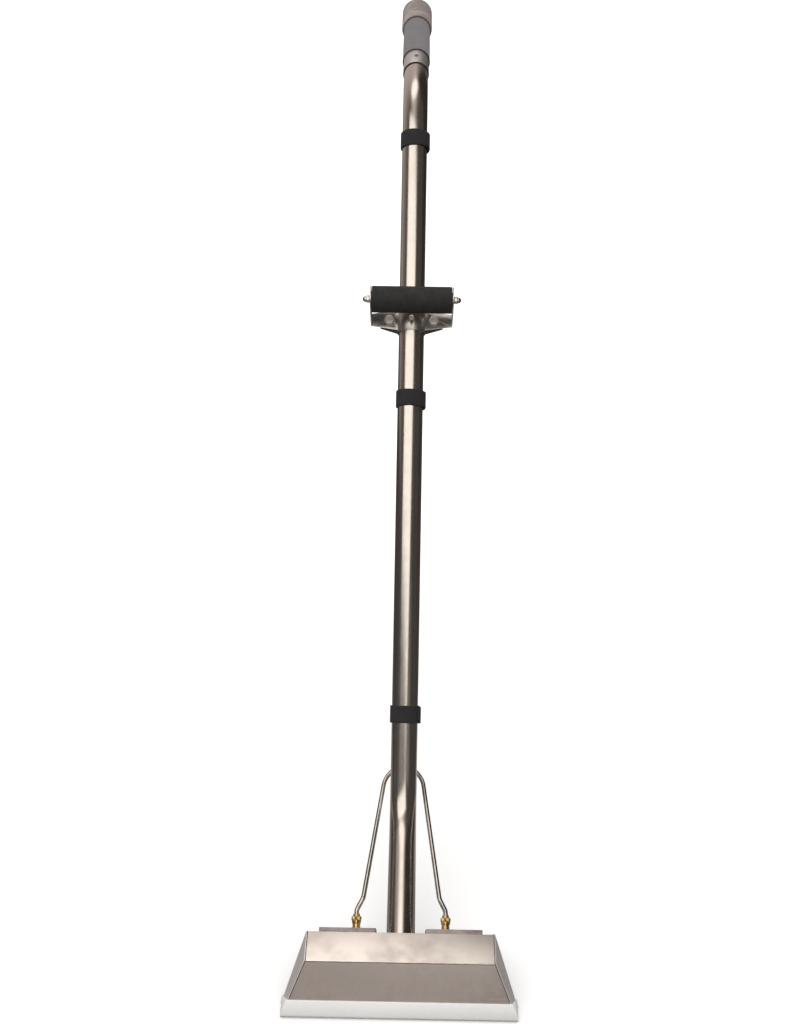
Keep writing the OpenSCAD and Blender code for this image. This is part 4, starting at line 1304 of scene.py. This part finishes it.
@dataclass
class RearEnd:
    """The collar, grip and cuff at the operator's end, with the trigger valve."""

    shop: Workshop
    sides: int = 128
    collar_at: float = 78.6
    grip_at: float = 132.0
    cuff_at: float = 284.0
    cuff_end: float = 366.0
    grip_radius: float = 21.75
    grip_seat: float = 0.3
    grip_rounding: float = 1.4
    grip_swell: float = 0.25
    grip_inset: float = 0.4
    grip_steps: int = 24
    cuff_radius: float = 25.4
    cuff_bore: float = 22.25
    cuff_seat: float = 0.15
    cuff_stop: float = 27.0
    cuff_step: float = 2.0
    cuff_chamfer: float = 0.5
    cuff_ledge: Pair = (0.2, 3.0)
    cuff_roundings: Pair = (1.6, 2.6)
    # Thin black rings at the grip's and the collar's ends stand in for their shade as painted shadow lines.
    bead: float = 0.9
    bead_sides: int = 12
    shadow_bead_radii: Triple = (22.0, 21.3, 19.7)
    spring_keep: float = 0.5

    def _sleeve(self, profile: list[Pair]) -> Shape:
        """Turns a closed profile round the upper run."""
        return Shape().lathe(WAND.on_upper(), profile + profile[:1], self.sides).tidy()

    def grip(self) -> None:
        """Builds the rubber sleeve, a little fuller in its middle."""
        seat = WAND.tube_radius + self.grip_seat
        low, high = self.grip_at + self.grip_inset, self.cuff_at - self.grip_inset
        shares = [k / self.grip_steps for k in range(1, self.grip_steps)]
        side = [(self.grip_radius + self.grip_swell * math.sin(math.pi * share),
                 self.grip_at + (self.cuff_at - self.grip_at) * share) for share in shares]
        profile = [(seat, low), *rim(self.grip_radius, low, self.grip_rounding, False), *side,
                   *rim(self.grip_radius, high, self.grip_rounding, True), (seat, high)]
        sleeve = self._sleeve(profile)
        sleeve.piece("grip_sleeve", Finishes.grip_rubber, "rear_grip", angle=50.0)

    def cuff(self) -> None:
        """Builds the hose cuff, with its stepped bore and rounded rims."""
        seat, step = WAND.tube_radius + self.cuff_seat, WAND.tube_radius - self.cuff_step
        under, over = (self.cuff_end - self.cuff_stop + height for height in self.cuff_ledge)
        bore = [(self.cuff_bore + self.cuff_chamfer, self.cuff_end),
                (self.cuff_bore, self.cuff_end - self.cuff_chamfer),
                (self.cuff_bore, over), (step, over), (step, under), (seat, under)]
        profile = [(seat, self.cuff_at), *rim(self.cuff_radius, self.cuff_at, self.cuff_roundings[0], False),
                   *rim(self.cuff_radius, self.cuff_end, self.cuff_roundings[1], True), *bore]
        sleeve = self._sleeve(profile)
        sleeve.piece("cuff_shell", Finishes.cuff_plastic, "hose_cuff", angle=40.0)

    def shadow_beads(self) -> None:
        """Builds thin black rings at the ends of the grip and of the collar, as painted shadow lines where
        the parts meet.
        """
        shape = Shape()
        # Painted shadow: a black ring at each end, where shade falls between the parts.
        places = (self.cuff_at, self.grip_at, self.collar_at)
        for at, radius in zip(places, self.shadow_bead_radii):
            shape.lathe(WAND.on_upper(), arc((radius, at), self.bead, 0, 360, self.bead_sides), self.sides)
        shape.tidy().piece("shadow_line_beads", Finishes.black_rubber)

    def press(self, spring: bpy.types.Object) -> None:
        """Gives the coil spring's piece a mesh of its own.

        Args:
            spring: The spring's piece.
        """
        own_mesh(spring)

    def build(self) -> None:
        """Builds every piece."""
        shop = self.shop
        self.grip()
        self.cuff()
        self.shadow_beads()
        shop.refine("valve_collar", Finishes.collar_steel, 0.3)
        shop.refine("collar_rivet", Finishes.dark_steel, 0.2)
        shop.refine("valve_body", Finishes.brass, 0.4)
        shop.refine_all(Finishes.bright_steel, 0.25, "valve_bolts", "valve_bolt_nuts",
                        "trigger_pin", "inlet_plug")
        shop.refine("valve_seat", Finishes.satin_steel, 0.1)
        shop.refine("valve_bonnet", Finishes.brass, 0.3)
        shop.refine("stem_seal", Finishes.black_rubber, 0.2)
        self.press(shop.refine("valve_spring", Finishes.bright_steel, 0.0))
        shop.refine("valve_stem", Finishes.bright_steel, 0.2, body=Body.STEM)
        shop.refine("trigger_lever", Finishes.satin_steel, 0.3, body=Body.TRIGGER)
        shop.refine("trigger_sleeve", Finishes.black_rubber, 0.6, body=Body.TRIGGER)


# ---- Camera, room and lights ----


@dataclass
class Studio:
    """The camera, a pale floor and a soft light, in a room that mainly reflections see."""

    eye: Triple = (0.0051, -1.5105, 1.3246)
    pitch: float = 22.394
    yaw: float = -0.498
    roll: float = 0.791
    lens: float = 51.39
    sensor: float = 36.0
    clip: Pair = (0.05, 60.0)
    lamp_aim: Triple = (0.0, 0.55, 0.60)
    lamp_turn: Pair = (-20.0, 45.5)
    lamp_reach: float = 3.2
    lamp_size: Pair = (4.7, 2.2)
    lamp_power: float = 39.0
    lamp_colour: RGB = (1.0, 0.96, 0.90)
    floor_size: float = 60.0
    floor_drop: float = 0.0004
    floor_pale: RGB = (0.93, 0.93, 0.93)
    floor_left: RGB = (0.22, 0.205, 0.20)
    floor_right: RGB = (0.055, 0.05, 0.048)
    floor_fade: Pair = (0.05, 0.6)
    floor_patch: RGB = (0.62, 0.58, 0.55)
    patch_at: Triple = (0.04, 0.62, 0.0)
    patch_fade: Pair = (0.36, 0.10)
    glow: Pair = (0.20, 0.60)
    glow_fade: Pair = (0.3, 2.5)
    card: tuple[Triple, Triple] = ((-0.55, 0.25, 0.0), (-0.55, 1.6, 0.62))
    card_tone: RGB = (0.05, 0.042, 0.04)
    walls: tuple[tuple[float, RGB], ...] = (
        (-180.0, (0.80, 0.70, 0.66)), (-140.0, (0.62, 0.54, 0.50)), (-123.0, (0.52, 0.46, 0.43)),
        (-99.0, (0.28, 0.22, 0.18)), (-78.0, (0.09, 0.082, 0.08)), (40.0, (0.07, 0.065, 0.06)),
        (72.0, (0.07, 0.063, 0.06)), (89.0, (0.10, 0.08, 0.068)), (108.0, (0.03, 0.024, 0.020)),
        (155.0, (0.03, 0.024, 0.020)), (172.0, (0.45, 0.40, 0.37)), (180.0, (0.80, 0.70, 0.66)))
    low_front: RGB = (0.60, 0.52, 0.485)
    low_fade: Pair = (0.30, 0.52)
    front_fade: Pair = (0.55, 0.85)
    ceiling: RGB = (0.72, 0.62, 0.57)
    ceiling_fade: Pair = (0.80, 0.92)
    ceiling_right: RGB = (0.16, 0.14, 0.13)
    right_fade: Pair = (-0.10, 0.35)
    skylight: Triple = (-0.15, 0.24, 0.959)
    skylight_tone: RGB = (2.2, 2.07, 1.94)
    skylight_fade: Pair = (0.88, 0.975)
    matt_tone: RGB = (1.28, 1.28, 1.28)
    backdrop: RGB = (1.7, 1.7, 1.7)
    strength: float = 0.62

    def camera(self) -> None:
        """Places the camera."""
        data = bpy.data.cameras.new("camera")
        data.lens, data.sensor_width = self.lens, self.sensor
        data.clip_start, data.clip_end = self.clip
        camera = bpy.data.objects.new("camera", data)
        turn = (Matrix.Rotation(-math.radians(self.yaw), 4, "Z")
                @ Matrix.Rotation(math.radians(90 - self.pitch), 4, "X")
                @ Matrix.Rotation(math.radians(self.roll), 4, "Z"))
        camera.matrix_world = Matrix.Translation(self.eye) @ turn
        bpy.context.scene.collection.objects.link(camera)
        bpy.context.scene.camera = camera

    def light(self) -> None:
        """Hangs the soft box in front of the wand, looking at it."""
        data = bpy.data.lights.new("front_softbox", "AREA")
        data.shape = "RECTANGLE"
        data.size, data.size_y = self.lamp_size
        data.energy, data.color = self.lamp_power, self.lamp_colour
        turn, rise = (math.radians(angle) for angle in self.lamp_turn)
        back = Vector((math.sin(turn) * math.cos(rise), -math.cos(turn) * math.cos(rise), math.sin(rise)))
        lamp = bpy.data.objects.new("front_softbox", data)
        lamp.location = Vector(self.lamp_aim) + back * self.lamp_reach
        lamp.rotation_mode = "QUATERNION"
        lamp.rotation_quaternion = back.to_track_quat("Z", "Y")
        bpy.context.scene.collection.objects.link(lamp)

    def _floor_material(self) -> bpy.types.Material:
        """Makes the floor pale to the camera, and toned where only other rays meet it.

        Returns:
            The material.
        """
        material = bpy.data.materials.new("pale_floor")
        graph = Graph(material)
        camera = graph.add("LightPath").outputs["Is Camera Ray"]
        place = graph.add("TexCoord").outputs["Object"]
        across = graph.add("SeparateXYZ", Vector=place).outputs["X"]
        toned = graph.mix(graph.ramp(across, self.floor_fade), self.floor_left, self.floor_right)
        behind = graph.add("VectorMath", {"operation": "DISTANCE"})
        graph.feed(behind.inputs[0], place)
        graph.feed(behind.inputs[1], self.patch_at)
        toned = graph.mix(graph.ramp(behind.outputs["Value"], self.patch_fade), toned, self.floor_patch)
        pale = graph.add("BsdfDiffuse", Color=self.floor_pale).outputs[0]
        dark = graph.add("BsdfDiffuse", Color=toned).outputs[0]
        reach = graph.add("VectorMath", {"operation": "LENGTH"}, Vector=place).outputs["Value"]
        glow = graph.math("MULTIPLY", camera, graph.ramp(reach, self.glow_fade, self.glow))
        lift = graph.add("Emission", Color=(1.0, 1.0, 1.0), Strength=glow).outputs[0]
        both = graph.join("MixShader", camera, dark, pale)
        graph.end("Material", graph.join("AddShader", both, lift))
        return material

    def floor(self) -> None:
        """Lays the floor."""
        shape = Shape()
        bmesh.ops.create_grid(shape.bm, x_segments=4, y_segments=4, size=self.floor_size)
        mesh = bpy.data.meshes.new("floor")
        shape.bm.to_mesh(mesh)
        shape.bm.free()
        piece = place_mesh("floor", mesh, self._floor_material())
        piece.location = (0, 0, -self.floor_drop)

    def flag(self) -> None:
        """Stands a dark card at the left of the wand's foot, where only reflections show it."""
        mesh = bpy.data.meshes.new("dark_card")
        (x, near, low), (_, far, high) = self.card
        mesh.from_pydata([(x, near, low), (x, far, low), (x, far, high), (x, near, high)], [], [(0, 1, 2, 3)])
        material = bpy.data.materials.new("card_black")
        graph = Graph(material)
        graph.end("Material", graph.add("Emission", Color=self.card_tone, Strength=1.0).outputs[0])
        card = place_mesh("dark_card", mesh, material)
        card.visible_camera = card.visible_diffuse = card.visible_shadow = False

    def air(self) -> None:
        """Fills the room with light: white to the camera, pale for matt surfaces, toned in reflections."""
        world = bpy.data.worlds.new("room")
        graph = Graph(world)
        path = graph.add("LightPath")
        way = graph.add("TexCoord").outputs["Generated"]
        parts = graph.add("SeparateXYZ", Vector=way)
        x, y, z = (parts.outputs[name] for name in "XYZ")
        front = graph.math("MULTIPLY", y, -1.0)
        level = graph.math("DIVIDE", graph.math("ARCTAN2", x, front), math.tau)
        band = graph.add("ValToRGB", Fac=graph.math("ADD", level, 0.5))
        stops = band.color_ramp.elements
        for degrees, _ in self.walls[1:-1]:
            stops.new(degrees / 360.0 + 0.5)
        for stop, (degrees, tone) in zip(stops, self.walls):
            stop.position = degrees / 360.0 + 0.5
            stop.color = (*tone, 1.0)
        low = graph.math("SUBTRACT", 1.0, graph.ramp(z, self.low_fade))
        foot = graph.math("MULTIPLY", graph.ramp(front, self.front_fade), low)
        walls = graph.mix(foot, band.outputs[0], self.low_front)
        ceiling = graph.mix(graph.ramp(x, self.right_fade), self.ceiling, self.ceiling_right)
        toward = graph.add("VectorMath", {"operation": "DOT_PRODUCT"})
        graph.feed(toward.inputs[0], way)
        graph.feed(toward.inputs[1], self.skylight)
        sky = graph.ramp(toward.outputs["Value"], self.skylight_fade)
        above = graph.mix(sky, ceiling, self.skylight_tone)
        room = graph.mix(graph.ramp(z, self.ceiling_fade), walls, above)
        shade = graph.mix(path.outputs["Is Glossy Ray"], self.matt_tone, room)
        seen = graph.mix(path.outputs["Is Camera Ray"], shade, self.backdrop)
        graph.end("World", graph.add("Background", Color=seen, Strength=self.strength).outputs[0])
        bpy.context.scene.world = world

    def build(self) -> None:
        """Sets everything up."""
        self.camera()
        self.floor()
        self.flag()
        self.air()
        self.light()
        bpy.context.scene.view_settings.view_transform = "Standard"


def main() -> None:
    """Builds the wand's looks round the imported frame."""
    logging.basicConfig(level=logging.INFO, format="%(name)s: %(message)s")
    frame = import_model()
    shop = Workshop(frame["nodes"])
    Studio().build()
    parts = (VacuumTube(), SuctionHead(shop), SprayGear(shop), Straps(), FrontHandle(shop), RearEnd(shop))
    for part in parts:
        part.build()
        LOG.info("%s done", type(part).__name__)


if __name__ == "__main__":
    main()
